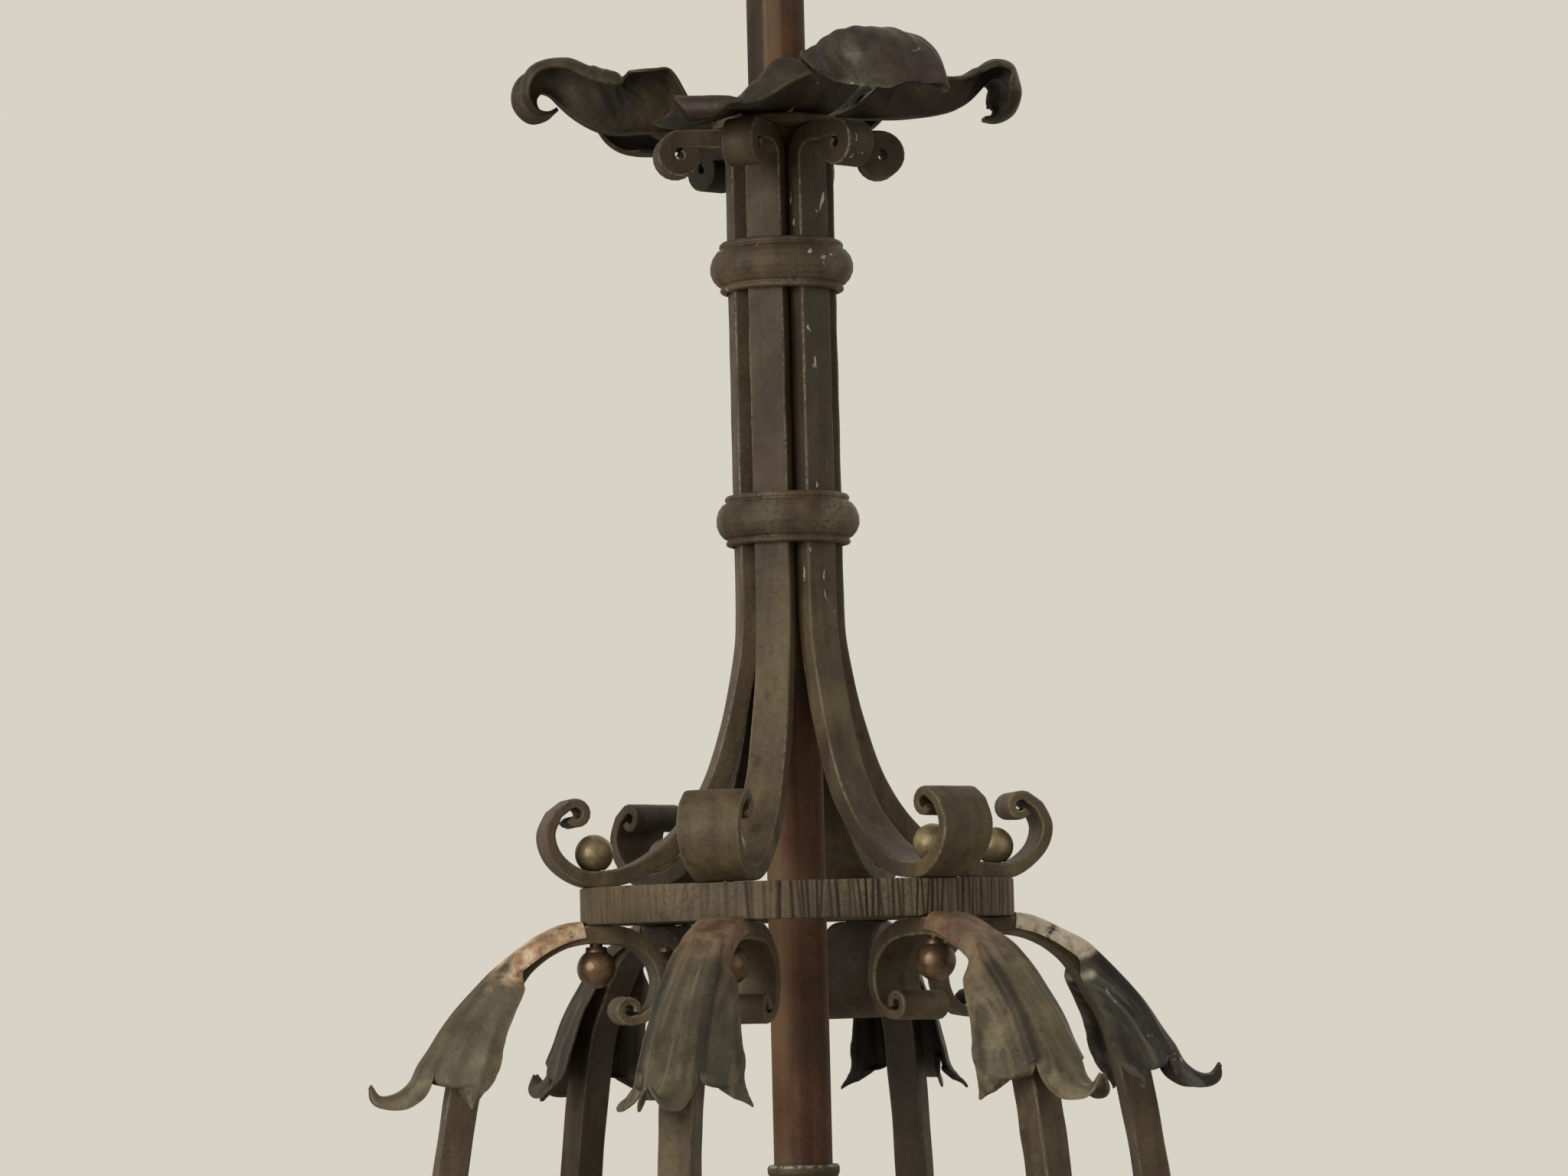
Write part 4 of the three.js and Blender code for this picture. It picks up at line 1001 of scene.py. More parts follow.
def leaf_finish(name, tones, dirt_and_shade, edge, gilt, tint, chips=0.0, stripe=None):
    """Aged metal with two more layers: stripes that run along the leaf's own map, and the
    gilt field, broken up by noise."""
    s = Shader(name)
    blotches = s.noise(34.0, 6.0, 0.62, warp=0.5)
    fine = s.noise(380.0, 3.0, 0.6)
    spots = s.noise(95.0, 4.0, 0.6)
    mixed = s.sum_of((spots, 0.22), (blotches, 0.62), (fine, 0.16))
    base = s.ramp(mixed, [*zip(LEAF_STOPS, tones)])
    base = s.lay(base, s.band(s.noise(21.0, 5.0, 0.6, warp=0.6), 0.48, 0.62), tint[1], tint[0])
    if stripe is not None:
        along = s.node("UVMap")
        along.uv_map = "along"
        lines = s.noise(1.0, 3.0, 0.6, (210, 9, 1), 0.3, along.outputs[0])
        base = s.lay(base, s.band(lines, 0.5, 0.62), stripe[2], stripe[0])
        base = s.lay(base, s.band(lines, 0.48, 0.36), stripe[2], stripe[1])
    base = s.dirt_wear_and_light(base, fine, dirt_and_shade, edge)
    broken = s.math("MULTIPLY", s.field("gilt"), s.band(s.noise(120.0, 5.0, 0.7), 0.31, 0.46))
    base = s.mix(broken, base, s.ramp(spots, gilt))
    if chips:
        flake = s.band(s.noise(88.0, 4.0, 0.6, warp=0.8), 0.72 - chips, 0.745 - chips)
        base = s.lay(base, flake, 0.8, "b9b1a0")
    tall = s.sum_of((spots, 0.55), (fine, 0.35))
    return s.finish(base, 0.2, s.gloss(spots, 0.42, 0.72), tall, BUMP_DEPTH)


GOLD = [(0.35, "e6d3b4"), (0.5, "bf9b78"), (0.62, "96735a")]
CREAM = [(0.35, "f2e8d6"), (0.55, "dccbb0"), (0.68, "a5917a")]
ROSE = [(0.35, "967a5e"), (0.52, "7c5f47"), (0.65, "5c4434")]
leaf_olive = leaf_finish("olive leaf", ("6e6349", "5d533c", "463a29"), "241d14", "867b63",
                         GOLD, ("55523e", 0.6))
leaf_brown = leaf_finish("brown leaf", ("6c624a", "574d38", "40372a"), "1e1811", "84795f",
                         ROSE, ("545140", 0.5), stripe=("7a6c53", "51503d", 0.6))
# Painted shade: a darker finish for a leaf at the back.
leaf_shade_dusk = leaf_finish("dark leaf with painted shade", ("4f4533", "3d3426", "2a231a"), "120d08", "6e6350",
                        ROSE, ("403829", 0.5))
leaf_green = leaf_finish("green leaf", ("786c50", "64593f", "453929"), "1f1810", "948a6b",
                         ROSE, ("5d5a44", 0.6), stripe=("7d7055", "4f4a36", 0.45))
leaf_plum = leaf_finish("plum leaf", ("433628", "2e231a", "1e140e"), "120d0a", "6f6858",
                        CREAM, ("4e4d42", 0.75), 0.05, ("6a675c", "2a211b", 0.7))
# Painted shade: the darkest finish, for the other leaf at the back.
leaf_shade_black = leaf_finish("black leaf with painted shade", ("35302a", "26211c", "191511"), "0d0a08", "4a453a",
                         ROSE, ("2e2c27", 0.6))
LEAVES = [
    (leaf_plum, (0.29, 0.32, 1.0), (4, 4), (0.6, 0.6), 2.8),
    (leaf_shade_black, (0.1, 0.2, 0.2), (5, 5), (0.8, 0.8), 2.0),
    (leaf_shade_dusk, (0.1, 0.2, 0.3), (5, 7), (0.8, 0), 2.0),
    (leaf_olive, (0.27, 0.38, 1.0), (1, 1), (0.45, 0.5), 0.8),
    (leaf_brown, (0.2, 0.38, 0.8), (7, 4), (0, 0.75), 2.6),
    (leaf_green, (0.2, 0.4, 0.8), (2, 7), (0.75, 0), 2.6)]
for k, (finish, gilt, flicks, points, groove) in enumerate(LEAVES):
    u, parts = arm_leaf(flicks, points, groove)
    piece = leaf_piece(f"arm_leaf_{k + 1}.chased", SIXTH * k, u, parts, gilt, 130 + k)
    dress(piece, f"arm_leaf_{k + 1}", finish)
print("arm leaf", len(piece.data.vertices))

# %% [markdown]
# ## The rosette
# Six large leaves lie on a round plate at the top. Each is a deep channel: its keel runs
# out flat, two side lobes stand up beside it, and the tip arches over and curls down.
# A smith bends each by hand, so four forms are used. A row of a form gives the radius,
# the height, half the width and the slopes in degrees beside the keel and at the edge.
# ROSETTE adds the tip's lift, the bend of the left and right half, the tip's swing, and
# where the right half is wider or narrower.

# %% Rosette leaves
PLATE_Z, PLATE_T, PLATE_R, ROSE_T = BAR_TOP + FIT, 5.0, 36.0, 2.2
ROSE_BASE = PLATE_Z + PLATE_T + FIT + ROSE_T / 2
ROLLED = [
    (19.5, 0, 9, 0, 0), (31, 0.2, 13, 8, 5), (44, 1.5, 20, 20, 15), (56, 1.5, 33, 48, 30),
    (67, 1.5, 42, 62, 0), (78, 2.5, 42, 64, -20), (89, 4, 33, 60, 0), (99, 6.5, 34, 58, -15),
    (107, 11, 33, 54, -25), (114, 18, 32, 44, -30), (120, 24.5, 32, 26, -34),
    (127, 26, 33, 8, -42), (132.5, 21, 33, -6, -50), (135.5, 12.5, 31, -12, -54),
    (132, 4.5, 26, -12, -50), (124, 0.5, 17, -6, -30), (116, 1.5, 5, 0, 0)]
ARCHED = [
    (19.5, 0, 9, 0, 0), (31, 0, 13, 8, 5), (37, 0, 15, 10, 8), (44, -1.6, 19, 18, 14),
    (51, -3.2, 24, 36, 24), (59, -4.8, 42, 72, 24), (68, -6.3, 48, 78, 0),
    (78, -7.5, 50, 82, -10), (88, -8.4, 42, 80, 20), (98, -7, 49, 80, -30),
    (107, -3, 55, 79, -54), (115, 2.5, 54, 76, -60), (121, 8, 49, 70, -60),
    (126.5, 13, 41, 63, -52), (131.5, 14, 34, 57, -44), (134.5, 10, 28, 50, -36),
    (133, 4.5, 20, 38, -28), (127.5, 3, 11, 20, -10), (122.5, 5, 2.5, 0, 0)]
RAISED = [
    (19.5, 0, 9, 0, 0), (30, 0.6, 14, 8, 5), (40, 6, 21, 22, 12), (49, 13, 27, 30, 14),
    (57, 20, 33, 26, 0), (65, 27, 41, 18, -38), (74, 33, 49, 9, -76), (84, 35.5, 57, 0, -98),
    (93, 35.5, 59, -4, -101), (101, 33, 55, -8, -101), (107, 29, 48, -12, -98),
    (111, 23.5, 39, -16, -90), (113.5, 17, 29, -16, -70), (114.8, 11, 19, -10, -45),
    (115.4, 7, 9, -5, -20), (115.6, 4.5, 2.5, 0, 0)]
LEVEL = [
    (19.5, 0, 9, 0, 0), (31, 0, 13, 8, 5), (37, 0, 15, 12, 8), (44, -1, 20, 26, 18),
    (54, -2, 33, 52, 20), (64, -3.2, 43, 64, -25), (74, -4.6, 47, 66, -60),
    (83, -6, 44, 64, -50), (92, -7.2, 34, 52, -35), (102, -7.8, 25, 24, -25),
    (111, -6, 21, 0, -30), (118, -5, 18, -8, -35), (122, -8, 15, -10, -35),
    (122, -13, 10, -8, -20), (117.5, -15, 3, 0, 0)]
ROSETTE = [
    (ROLLED, 0, 1, 1, 0, []), (ROLLED, 8, 1, 1, 4, []), (ROLLED, -3, 0.8, 0.8, -3, []),
    (ARCHED, 0, 1, 1, 0, []), (LEVEL, 0, -0.3, 0.85, 2, [(40, 0.9), (84, 0.4)]),
    (RAISED, 0, 1, 1.1, 12, [(102, -0.15)])]


def rosette_side(line, bend, roll, steps):
    """Half a cross-section: the slope eases up beside the keel and then rolls over to the
    slope of the edge; summing cosines and sines of the slope gives side and rise."""
    s = (np.arange(steps) + 0.5)[None, :] / steps
    half, keel, edge = line[:, 2:3], line[:, 3:4] * bend, line[:, 4:5] * bend
    turn = np.radians(keel * ease(s, 0, 0.3) + (edge - keel) * ease(s, roll, roll + 0.55))
    start = np.zeros((len(line), 1))
    return (np.hstack([start, (np.cos(turn) * half / steps).cumsum(1)]),
            np.hstack([start, (np.sin(turn) * half / steps).cumsum(1)]))


def veins(v, s, seed):
    """Rays that slant outwards from the keel, each a rib beside a groove; a deeper groove
    is the keel itself. All fade out at the base, over the arch and near the edges."""
    side = np.abs(v)
    ray = side * 1.15 - (s - 0.18) * 2.3 + 0.05 * np.sin(9 * s + seed)
    rib = bell((ray % 0.30) - 0.15, 0.045) * ease(side, 0.08, 0.3)
    groove = bell(((ray + 0.15) % 0.30) - 0.15, 0.07) * ease(side, 0.12, 0.35)
    relief = 0.3 * rib - 0.35 * groove - 1.0 * bell(v, 0.06) * ease(s, 0.05, 0.2)
    relief = relief * ease(s, 0.12, 0.25) * (1 - ease(s, 0.62, 0.8))
    return relief * (1 - 0.85 * ease(side, 0.68, 0.95))


def rosette_leaf(form, lift, left, right, swing, wider, seed, rows=190, steps=46):
    """Carry both halves of the section along the spine; the right one is wider or narrower
    round a few radii. On an arched leaf the lobe near the middle stands out and ends in a
    sharp slanting step, whose rim gets a painted highlight."""
    line = calmed(spline(form, rows - 1), 5)
    r = line[:, :1]
    rows_out = (np.arange(rows) < line[:, 0].argmax())[:, None]
    near = np.clip((r - 36) / 8, 0, 1)
    roll = 0.28 if form is RAISED else 0.42
    xl, yl = rosette_side(line, 1 + (left - 1) * near, roll, steps)
    line_right = line.copy()
    for place, share in wider:
        line_right[:, 2:3] *= 1 + share * bell(r - place, 15)
    xr, yr = rosette_side(line_right, 1 + (right - 1) * near, roll, steps)
    x, y = np.hstack([-xl[:, :0:-1], xr]), np.hstack([yl[:, :0:-1], yr])
    v = np.linspace(-1, 1, 2 * steps + 1)[None, :]
    flank = ease(np.abs(v), 0.3, 0.6) * (form is ARCHED)
    step = 73 + 19 * ease(np.abs(v), 0.35, 1) - r
    x = x + np.sign(v) * 4.2 * flank * ease(r, 50, 68) * ease(step, 0, 2.4) * rows_out
    d = np.tile([1.0, 0.0], (rows, 1)) if form is RAISED else slope(line)
    far = np.clip((r - 40) / 60, 0, 1)
    grid = np.stack([r - d[:, 1:] * y, x + swing * np.clip((r - 100) / 20, 0, 1) ** 2,
                     ROSE_BASE + line[:, 1:2] + lift * far + d[:, :1] * y], -1)
    # Worn metal along the leaf's edges; along the arched leaf's step a painted highlight, a bright
    # rim.
    edge = np.maximum(bell(1 - np.abs(v), 0.05), flank * bell(step - 0.6, 1.3) * rows_out)
    s = np.linspace(0, 1, rows)[:, None]
    return s, grid, veins(v, s, seed), np.broadcast_to(edge, grid.shape[:2])


rose_dark = leaf_finish("rosette leaf", ("443a29", "2f261a", "1e160f"), "100a06", "746b49",
                        ROSE, ("38261c", 0.6))
rose_grey = leaf_finish("grey rosette leaf", ("4f4937", "393327", "251d16"), "100a06",
                        "847f64", ROSE, ("412e28", 0.6), 0.05)
for k, bend in enumerate(ROSETTE):
    s, grid, relief, edge = rosette_leaf(*bend, 2.1 * k)
    mid, edge = grid.reshape(-1, 3), edge.reshape(-1)
    uneven = 0.6 * waves(grid, 34, 150 + k) * ease(s, 0.1, 0.3)
    relief = (relief + uneven).reshape(-1)
    fields = {"wear_and_highlight": np.clip(0.36 * edge + 0.2 * waves(mid, 40, 160 + k), 0, 1),
              "grime_and_shade": np.clip(-relief * 0.5 + 0.2 * waves(mid, 30, 170 + k), 0, 1),
              "gilt": np.zeros(len(mid))}
    piece = wall_sheet(f"rosette_leaf_{k + 1}.chased", turned_by(lifted(mid), SIXTH * k),
                       faces_of(*grid.shape[:2]), ROSE_T * (1 - 0.4 * edge),
                       mid[:, [1, 0]] * MM, fields, relief)
    dress(piece, f"rosette_leaf_{k + 1}", rose_grey if k == 5 else rose_dark)
plate = closed([(BORE, 2), (BORE, 0), (PLATE_R, 0), (PLATE_R, PLATE_T), (BORE, PLATE_T)])
turned("rosette_plate.turned", "rosette_plate", filled(rounded(raised(plate, PLATE_Z), 1.2), 2),
       iron, 120, 0.2, 180)
print("rosette leaf", grid.shape)

# %% [markdown]
# ## Pipes
# The centre pipe carries the whole chandelier. Its thread shows between the bars just
# under the rosette: a helix, so the radius is a wave of height plus angle.

# %% Pipes
PIPE_WALL, ROD_TOP = 2.6, -106.4
PITCH, THREAD, ROW_PLAIN, ROW_THREAD = 2.3, 0.9, 6.0, 0.45
COUPLING_TOP, COUPLING_H = -152.0, 44.0
PIPE_FOOT = RING_TOP + COUPLING_TOP - COUPLING_H / 2
HUB_FOOT = RING_TOP + HUB_Z - HUB_HALF
VIEW_SIDE = VIEW_TURN + math.pi / 2


def pipe(name, node, bottom, top, threads, seed):
    """A tube; between the heights in threads the radius drops by a helical wave. Worn
    patches are set, and a painted highlight and a painted shaded edge as seen from the
    camera: side is -1 at the left, 1 at the right, and front is true on the half that faces it."""
    marks = [bottom, *[t for pair in threads for t in pair], top]
    steps = [ROW_THREAD if k % 2 else ROW_PLAIN for k in range(len(marks) - 1)]
    z = np.concatenate([np.arange(a, b, s) for a, b, s in zip(marks, marks[1:], steps)] + [[top]])
    inside = PIPE_R - PIPE_WALL
    profile = np.vstack([[(inside, bottom)], np.stack([np.full(len(z), PIPE_R), z], 1),
                         [(inside, top)], [(inside, bottom)]])
    grid = lathe(profile, 96)
    angle = np.linspace(0, 2 * np.pi, 97)
    cut = sum(((profile[:, 1] > a) & (profile[:, 1] < b)).astype(float) for a, b in threads)
    cut = np.broadcast_to(cut, (len(profile),)) * (profile[:, 0] > inside + 1)
    wave = 0.5 + 0.5 * np.sin(2 * np.pi * profile[:, 1:] / PITCH + angle)
    shrink = 1 - cut[:, None] * THREAD * wave / PIPE_R
    grid[..., :2] *= shrink[..., None]
    side, front = np.sin(angle + VIEW_SIDE)[None, :], np.cos(angle + VIEW_SIDE)[None, :] > 0
    above = ease(profile[:, 1:], RING_TOP + BAR_TOP, RING_TOP + BAR_TOP + 12)
    # Painted highlight: above the rosette a bright line and a lit band on the front; below it the
    # left of the front half, towards the key lamp, is lighter.
    painted_highlight = bell(side + 0.36, 0.05) + 0.62 * ease(side, -0.34, -0.2) * (1 - ease(side, 0.1, 0.3))
    painted_highlight = above * front * painted_highlight + (1 - above) * 0.45 * front * (1 - ease(side, -0.6, -0.2))
    # Painted shade: the pipe's left edge above the rosette.
    painted_shade = above * front * (1 - ease(side, -0.5, -0.42))
    fields = {"wear_and_highlight": np.clip(painted_highlight + 0.25 * waves(grid, 60, seed), 0, 1),
              "grime_and_shade": np.clip(painted_shade + 0.6 * cut[:, None] * wave
                               + 0.3 * waves(grid, 70, seed + 1), 0, 1)}
    dress(skin(name, grid, fields), node, pipe_brown)


pipe("centre_pipe.tube", "centre_pipe", PIPE_FOOT, ROD_TOP,
     [(RING_TOP + 384, RING_TOP + 409), (ROD_TOP - 18, ROD_TOP - 1)], 200)
pipe("lower_pipe.tube", "lower_pipe", HUB_FOOT, PIPE_FOOT - FIT, [], 204)
top = RING_TOP + COUPLING_TOP
coupling = closed([(BORE, 24), (BORE, 0), (18.6, 0), (19.6, 1.2), (19.6, 4.6), (18.9, 5.6),
                   (18.9, 38.4), (19.6, 39.4), (19.6, 42.8), (18.6, COUPLING_H),
                   (BORE, COUPLING_H)])
profile = filled(rounded(raised(coupling, top - COUPLING_H), 0.8), 2)
grid = dented(lathe(profile, 96), 0.12, 20, 210)
paste = ease(grid[..., 2], top - 2.2, top - 0.6) * (0.6 + 0.5 * waves(grid, 9, 211))
fields = {"wear_and_highlight": np.clip(paste, 0, 1), "grime_and_shade": np.clip(0.3 * waves(grid, 20, 212), 0, 1)}
coupling_iron = aged("pipe coupling", [(0.36, "594c34"), (0.46, "493d29"), (0.58, "32281b")],
                     "1c160e", "cfc6b2", metallic=0.2)
dress(skin("pipe_coupling.turned", grid, fields), "pipe_coupling", coupling_iron)
print("pipes from", round(HUB_FOOT), "to", ROD_TOP)

# %% [markdown]
# ## Wires, tubes and joined skins
# Hook, link, loop and the candle arms are round bar. A circle is carried along a line in
# one plane, so that plane's normal can serve as the circle's first direction everywhere.
# Closed skins that meet inside one part are stored as one mesh.


# %% Round bar
def round_bar(line, radius, flat, sides=24, loop=False):
    """Point = line + r cos a * flat + r sin a * (direction x flat). An open bar's ends
    shrink to a point; a loop comes back to its start."""
    line = np.asarray(line, float)
    if loop:
        d = np.roll(line, -1, 0) - np.roll(line, 1, 0)
    else:
        d = np.gradient(line, axis=0)
    d = d / np.linalg.norm(d, axis=1, keepdims=True)
    flat = np.asarray(flat, float)
    up = np.cross(d, flat)
    a = np.linspace(0, 2 * np.pi, sides + 1)[None, :, None]
    r = np.broadcast_to(np.asarray(radius, float), (len(line),))[:, None, None]
    grid = line[:, None] + r * np.cos(a) * flat + r * np.sin(a) * up[:, None]
    if loop:
        return np.concatenate([grid, grid[:1]])
    tips = np.broadcast_to(line[[0, -1], None], (2, sides + 1, 3))
    off = np.stack([-d[0], d[-1]])[:, None] * r[[0, -1]] * 0.14
    soft = tips + (grid[[0, -1]] - tips) * 0.82 + off
    tips = tips + off
    return np.concatenate([tips[:1], soft[:1], grid, soft[1:], tips[1:]])


def skins(name, grids, seed):
    """Several closed grids as one mesh, each turned outwards by itself."""
    points, quads, uvs, start = [], [], [], 0
    for grid in grids:
        rows, cols = grid.shape[:2]
        q, p = faces_of(rows, cols), grid.reshape(-1, 3)
        if volume_of(p, q) < 0:
            q = q[:, ::-1]
        points.append(p)
        quads.append(q + start)
        start += len(p)
        u, v = np.meshgrid(np.linspace(0, 0.1, rows), np.linspace(0, 0.05, cols), indexing="ij")
        uvs.append(np.stack([v.ravel(), u.ravel()], 1))
    p = np.concatenate(points)
    return make(name, p, np.concatenate(quads), np.concatenate(uvs),
                plain_fields(p, seed, dirt_and_shade=0.3))


def upright(line):
    """Points (x, z) as points of the XZ plane."""
    return np.stack([line[:, 0], 0 * line[:, 0], line[:, 1]], 1)


def arc(centre, radius, start, end, count):
    """Points of a circle in the XZ plane."""
    a = np.radians(np.linspace(start, end, count))
    return upright(np.array(centre) + radius * np.stack([np.cos(a), np.sin(a)], 1))


# %% [markdown]
# ## Candle spider, sleeves and bulbs
# A boss on the lower pipe carries three curved tubes. Each ends in a pan with a candle
# sleeve; the sleeve has drips of wax, each a bell curve with a length of its own.

# %% Candles
CANDLE_R, CUP_SHELF, SLEEVE_TOP = 85.0, -347.0, -246.0
CANDLE_SPOT, CANDLE_TURNS = np.array([CANDLE_R, 0, RING_TOP]), (30, 150, 270)
PAN_Z = CUP_SHELF + FIT
boss = lathe(filled(rounded(closed([
    (BORE, -350), (BORE, -372), (24, -372), (27, -369.5), (29, -365.5), (29.4, -359), (29, -352.5),
    (26, -349), (22.6, -344.5), (22, -342), (22, -334), (BORE, -334)]), 1.5), 1.5), 96)
tube_line = spline([(24, -360), (36, -366), (52, -377), (68, -381), (80, -374),
                    (CANDLE_R, -362), (CANDLE_R, CUP_SHELF - 2)], 60)
thick = 5 + 1.0 * bell(np.linspace(-1, 1, len(tube_line)), 0.16)
tube = round_bar(upright(tube_line), thick, (0, 1, 0))
seat = [(0, -9), (6, -9), (9, -7), (9.6, -5), (12, -1), (12, 0), (0, 0)]
seat = lathe(rounded(raised(seat, CUP_SHELF), 0.8), 48) + np.array([CANDLE_R, 0, 0])
parts = [boss] + [turned_by(g, turn) for turn in CANDLE_TURNS for g in (tube, seat)]
dress(skins("candle_spider.forged", [lifted(g) for g in parts], 220), "candle_spider", iron)


def pan_grid():
    """A shallow pan: its rim rises and falls eight times and draws in where it is low."""
    profile = [(0, 0), (12, 0), (18, 1.4), (24, 4), (27.4, 8.4), (28, 9.4), (27.2, 10),
               (25.8, 8.8), (22.6, 5.6), (17, 3.6), (13.2, 3.2), (0, 3.2)]
    profile = filled(rounded(raised(profile, PAN_Z), 0.8), 1.5)
    grid = lathe(profile, 128)
    angle = np.linspace(0, 2 * np.pi, 129)
    rim = ease(profile[:, :1], 18, 28)
    grid[..., 2] += rim * 1.1 * np.cos(8 * angle)
    grid[..., :2] *= (1 - 0.035 * rim * (1 - np.cos(8 * angle)) / 2)[..., None]
    return grid


def wax_grid(seed, sides=160):
    """The sleeve's radius grows under each drip: a bell curve round the angle, as long
    as the drip, with a drop at its lower end."""
    rng = np.random.default_rng(seed)
    low = PAN_Z + 3.3
    z = np.r_[np.linspace(low, SLEEVE_TOP - 1.2, 90), SLEEVE_TOP - 0.4, SLEEVE_TOP]
    r = np.r_[np.full(90, 12.6), 12.3, 11.6]
    angle = np.linspace(0, 2 * np.pi, sides + 1)[None, :]
    grow = np.zeros((len(z), sides + 1))
    for _ in range(11):
        at, wide = rng.uniform(0, 2 * np.pi), rng.uniform(0.09, 0.17)
        end = SLEEVE_TOP - rng.uniform(14, 74)
        off = apart(angle, at)
        line = bell(off, wide) * ease(z[:, None], end, end + 3)
        drop = bell(off, wide * 1.35) * bell(z[:, None] - end - 3, 3.6)
        grow = np.maximum(grow, 0.75 * line + 0.25 * drop)
    grow = np.maximum(grow, 0.9 * ease(z[:, None], SLEEVE_TOP - 6, SLEEVE_TOP - 2))
    reach = r[:, None] + grow
    outer = np.stack([reach * np.cos(angle), reach * np.sin(angle), z[:, None] + 0 * angle], -1)
    inner = lathe([(7.6, SLEEVE_TOP), (7.6, SLEEVE_TOP - 24), (0, SLEEVE_TOP - 24)], sides)
    foot = lathe([(0, low), (12.6, low)], sides)
    return np.concatenate([foot[:1], outer, inner])


def simple(name, code, other, rough, depth, metallic=0.0, **uniform):
    """Two colours in slow variation, a fine bump and an uneven gloss."""
    s = Shader(name)
    slow, fine = s.noise(60.0, 5.0, 0.6), s.noise(480.0, 3.0, 0.6)
    base = s.mix(s.band(slow, 0.35, 0.68), colour(code), colour(other))
    base = s.lay(base, s.field("grime_and_shade"), 0.5, "6b5b42")
    gloss = s.gloss(slow, max(rough - 0.1, 0.04), rough + 0.12)
    return s.finish(base, metallic, gloss, fine, depth, **uniform)


wax = simple("ivory sleeve", "d8cbac", "c6b48d", 0.5, 0.0003,
             Subsurface_Weight=0.15, Subsurface_Scale=0.004)
glass = simple("opal glass", "e9e2d2", "e2d9c4", 0.22, 0.0001, Coat_Weight=0.6)
brass_cap = simple("lamp cap", "9a8350", "8a7446", 0.35, 0.0004, 0.85)
for k, turn in enumerate(CANDLE_TURNS):
    node = f"candle_sleeve_{k + 1}"
    grid = turned_by(pan_grid() + CANDLE_SPOT, turn)
    piece = plain(f"{node}.pan", node, grid, 230 + k, iron)
    grid = turned_by(wax_grid(240 + k) + CANDLE_SPOT, turn)
    plain(f"{node}.wax", node, grid, 250 + k, wax, dirt_and_shade=0.15)


def bulb_grid(sides=72):
    """A flame bulb: the profile's radius swells on six ribs that wind round it."""
    foot = SLEEVE_TOP + FIT
    profile = [(0, 1), (7, 1.6), (9.2, 3), (13.6, 11), (16.4, 22), (16.0, 36), (12.6, 49),
               (7.6, 61), (3.2, 70), (0, 74.6)]
    profile = spline(raised(profile, foot), 110)
    grid = lathe(profile, sides)
    angle = np.linspace(0, 2 * np.pi, sides + 1)
    tall = (profile[:, 1:] - foot) / 75
    rib = 1 + 0.045 * np.cos(6 * angle + tall * 5) * ease(tall, 0.1, 0.3) * ease(1 - tall, 0, 0.2)
    grid[..., :2] *= rib[..., None]
    return grid


cap = [(0, -23), (4.5, -23), (7, -20), (7, 0.4), (8.8, 0.5), (8.8, 3.0), (7.5, 3.4), (0, 3.4)]
cap = filled(rounded(raised(cap, SLEEVE_TOP), 0.5), 1.0)
for k, turn in enumerate(CANDLE_TURNS):
    node = f"candle_bulb_{k + 1}"
    grid = turned_by(bulb_grid() + CANDLE_SPOT, turn)
    plain(f"{node}.glass", node, grid, 260, glass, 0, 0)
    grid = turned_by(lathe(cap, 48) + CANDLE_SPOT, turn)
    piece = plain(f"{node}.cap", node, grid, 270, brass_cap)
print("candles", grid.shape)

# %% [markdown]
# ## Hub and finial
# The arms end on the six flats of the hub: its outer radius is the flat's distance
# divided by the cosine of the angle from the flat's middle.

# %% Hub and finial
hub = closed([(BORE, 0), (BORE, -HUB_HALF), (32.6, -HUB_HALF), (33.6, 1.4 - HUB_HALF),
              (33.6, HUB_HALF - 1.4), (32.6, HUB_HALF), (BORE, HUB_HALF)])
hub = filled(rounded(raised(hub, HUB_Z), 0.8), 1.5)
grid = lathe(hub, 240)
off = apart(np.linspace(0, 2 * np.pi, 241), 0, np.pi / 3)
hexagon = 1 + (np.minimum(1 / np.cos(off), 1.135) - 1) * ease(hub[:, :1], 17, 30)
grid[..., :2] *= hexagon[..., None]
plain("bottom_hub.forged", "bottom_hub", lifted(grid), 280, iron, 0.5)

FIN_TOP = HUB_Z - HUB_HALF - FIT
inside = PIPE_R - PIPE_WALL - FIT
neck = [(0, 18), (inside, 18), (inside, 0), (25.6, 0), (27, -1), (27, -3), (25, -5), (20, -8),
        (13, -10.6), (9.6, -13), (8.4, -16), (8.6, -18), (10.6, -19.4), (11.4, -21), (10.8, -22.4)]
bud = [(11, -23), (15, -26), (18.6, -31), (20.3, -38), (19, -45), (15.6, -50.6), (10.6, -55.4),
       (6.6, -58.6), (5.2, -61.4), (5.0, -63.4), (6.6, -65.4), (7.3, -68), (6.6, -71),
       (5.2, -75.4), (3, -79.6), (0, -81.8)]
profile = filled(rounded(raised(neck + bud, FIN_TOP), 1.2), 1.0)
grid = lathe(profile, 144)
angle = np.linspace(0, 2 * np.pi, 145)
ribbed = bell(profile[:, 1:] - FIN_TOP + 38, 12)
grid[..., :2] *= (1 - 0.07 * ribbed * (1 - np.abs(np.sin(6 * angle + ribbed))))[..., None]
plain("finial.turned", "finial", lifted(grid), 285, iron, 0.5)
print("finial", grid.shape)

# %% [markdown]
# ## The ceiling end
# Plate, hook, link and loop carry the weight; the cup slides up over them and is held by
# a collar with a thumb screw. The photograph ends below them, so they are plain.

# %% Ceiling end
frame["nodes"]["ceiling_plate"].data.materials.clear()
frame["nodes"]["ceiling_plate"].data.materials.append(dark_iron)

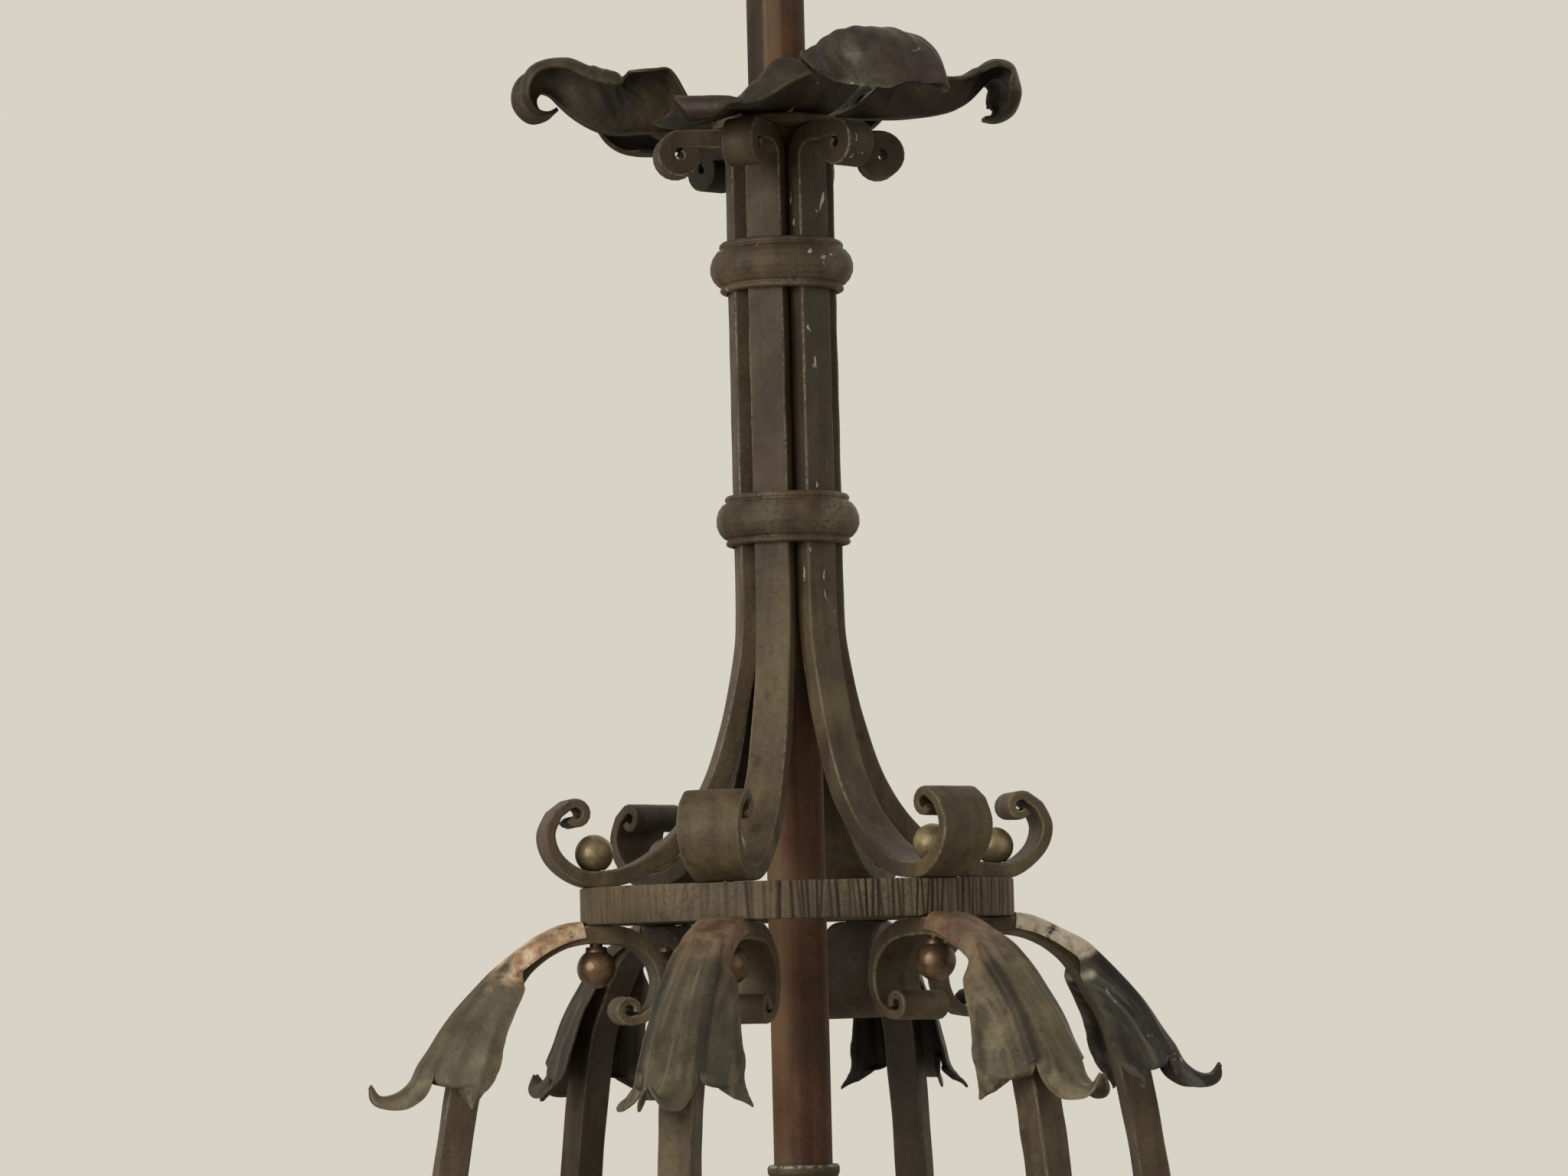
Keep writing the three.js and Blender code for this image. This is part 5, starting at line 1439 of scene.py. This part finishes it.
HOOK_R, HOOK_WIRE, HOOK_Z = 13.0, 4.0, -30.0
stem = [(0, z) for z in np.linspace(-1.8, -11, 8)] + [(-2, -15)]
bow = arc((0, HOOK_Z), HOOK_R, 118, 400, 60)[3:, [0, 2]]
hook_line = upright(spline(np.vstack([stem, bow]), 160))
taper = 1 - 0.25 * ease(np.linspace(0, 1, len(hook_line)), 0.85, 1)
grid = round_bar(hook_line, HOOK_WIRE * taper, (0, 1, 0))
plain("ceiling_hook.bent", "ceiling_hook", grid, 300, dark_iron)

LINK_WIRE, LINK_HALF = 3.5, 11.5
LINK_TOP = HOOK_Z - HOOK_R + HOOK_WIRE + LINK_WIRE + FIT
LINK_LOW = LINK_TOP - 41
a = np.radians(np.linspace(0, 360, 120, endpoint=False))
mid = np.where(np.sin(a) >= 0, LINK_TOP - LINK_HALF, LINK_LOW + LINK_HALF)
link_line = np.stack([0 * a, LINK_HALF * np.cos(a), mid + LINK_HALF * np.sin(a)], 1)
grid = round_bar(link_line, LINK_WIRE, (1, 0, 0), loop=True)
plain("hanging_link.bent", "hanging_link", grid, 302, dark_iron)

LOOP_R, LOOP_WIRE = 13.0, 4.0
LOOP_MID = LINK_LOW + LINK_WIRE + LOOP_WIRE + FIT - LOOP_R
loop = round_bar(arc((0, LOOP_MID), LOOP_R, 0, 357, 120), LOOP_WIRE, (0, 1, 0), loop=True)
plug = lathe(filled(rounded([
    (0, LOOP_MID - 11), (8, LOOP_MID - 11), (11, LOOP_MID - 13), (15, ROD_TOP + 5),
    (PIPE_R, ROD_TOP + 3), (PIPE_R, ROD_TOP + FIT), (13, ROD_TOP + FIT), (13, ROD_TOP - 16),
    (0, ROD_TOP - 16)], 0.6), 1.5), 64)
dress(skins("top_loop.forged", [loop, plug], 304), "top_loop", dark_iron)

CUP_TOP, CUP_FOOT = -6.5, -118.0
cup = [(16.4, 0), (21, 0.4), (25.4, 5.4), (32, 16), (39.6, 28), (45.4, 40), (50.8, 56),
       (54, 72), (56.2, 92), (56.8, CUP_TOP - CUP_FOOT - 5)]
cup = spline(raised(cup, CUP_FOOT), 90)
a = np.radians(np.linspace(-80, 80, 14))
bead = np.stack([56.6 + 1.4 * np.cos(a), CUP_TOP - 3 + 2.8 * np.sin(a)], 1)
wall = cup[::-1] + np.array([-0.9, 0.4])
wall[:, 0] = np.maximum(wall[:, 0], 16.3)
profile = np.vstack([cup, bead, [(56.5, CUP_TOP)], wall, cup[:1]])
ridges = sum(0.55 * bell(profile[:, 1] - CUP_FOOT - height, 1.4) for height in (62, 67))
profile[:, 0] += ridges * (np.arange(len(profile)) < len(cup))
grid = dented(lathe(profile, 160), 0.12, 30, 310)
grid[..., 2] = np.minimum(grid[..., 2], CUP_TOP)
plain("ceiling_cup.spun", "ceiling_cup", grid, 311, iron, 0.4)

low = CUP_FOOT - FIT
collar = closed([(BORE, -6), (BORE, -12), (22, -12), (23.5, -10.4), (23.5, -8.6), (22.6, -7.6),
                 (22.6, -4.4), (23.5, -3.4), (23.5, -1.6), (22, 0), (BORE, 0)])
turned("cup_collar.turned", "cup_collar", filled(rounded(raised(collar, low), 0.6), 1.0), iron,
       96, 0.05, 320, at=(0, 0, 0))
screw = rounded([(0, 16.3), (2, 16.3), (2, 24.4), (3.4, 24.8), (3.6, 25.6), (4.8, 26.2),
                 (5, 27), (5, 30.6), (4.2, 31.8), (0, 32)], 0.4)
grid = lathe(filled(screw, 0.5), 72)
angle = np.linspace(0, 2 * np.pi, 73)
knurl = ease(grid[..., 2], 26.0, 26.8) * (1 - ease(grid[..., 2], 30.8, 31.4))
grid[..., :2] *= (1 - 0.06 * knurl * (0.5 + 0.5 * np.cos(18 * angle)))[..., None]
grid = np.stack([grid[..., 2], grid[..., 1], low - 6 - grid[..., 0]], -1)
plain("cup_screw.turned", "cup_screw", grid, 330, bronze)
print("ceiling end dressed", len(dressed))

# %% [markdown]
# ## Floor and count
# A pale floor lies one storey below the ceiling. At the end the triangles of the dressed
# pieces are counted.


# %% Floor
GLOW = 0.48


def floor(height=-2.6, half=14.0):
    """One pale square with slow variation. The camera sees it a little brighter than its
    light, so that it meets the wall's colour; its shadows stay."""
    mesh = bpy.data.meshes.new("floor")
    mesh.from_pydata([(-half, -half, height), (half, -half, height), (half, half, height),
                      (-half, half, height)], [], [(0, 1, 2, 3)])
    obj = bpy.data.objects.new("floor", mesh)
    bpy.context.scene.collection.objects.link(obj)
    s = Shader("pale floor")
    base = s.mix(s.noise(1.2, 4.0, 0.5), (*WALL, 1), (WALL[0] * 0.96, WALL[1] * 0.96,
                                                        WALL[2] * 0.95, 1))
    mesh.materials.append(s.finish(base, 0.0, 0.9, s.noise(30.0, 3.0, 0.5), 0.001))
    shader = next(n for n in s.tree.nodes if n.type == "BSDF_PRINCIPLED")
    seen = s.node("LightPath").outputs["Is Camera Ray"]
    s.feed(shader.inputs["Emission Strength"], s.math("MULTIPLY", seen, GLOW))
    s.feed(shader.inputs["Emission Color"], (*WALL, 1))


floor()
bpy.context.scene.view_settings.view_transform = "Standard"
bpy.context.view_layer.update()
print("triangles", sum(len(o.data.loops) - 2 * len(o.data.polygons) for o in dressed))
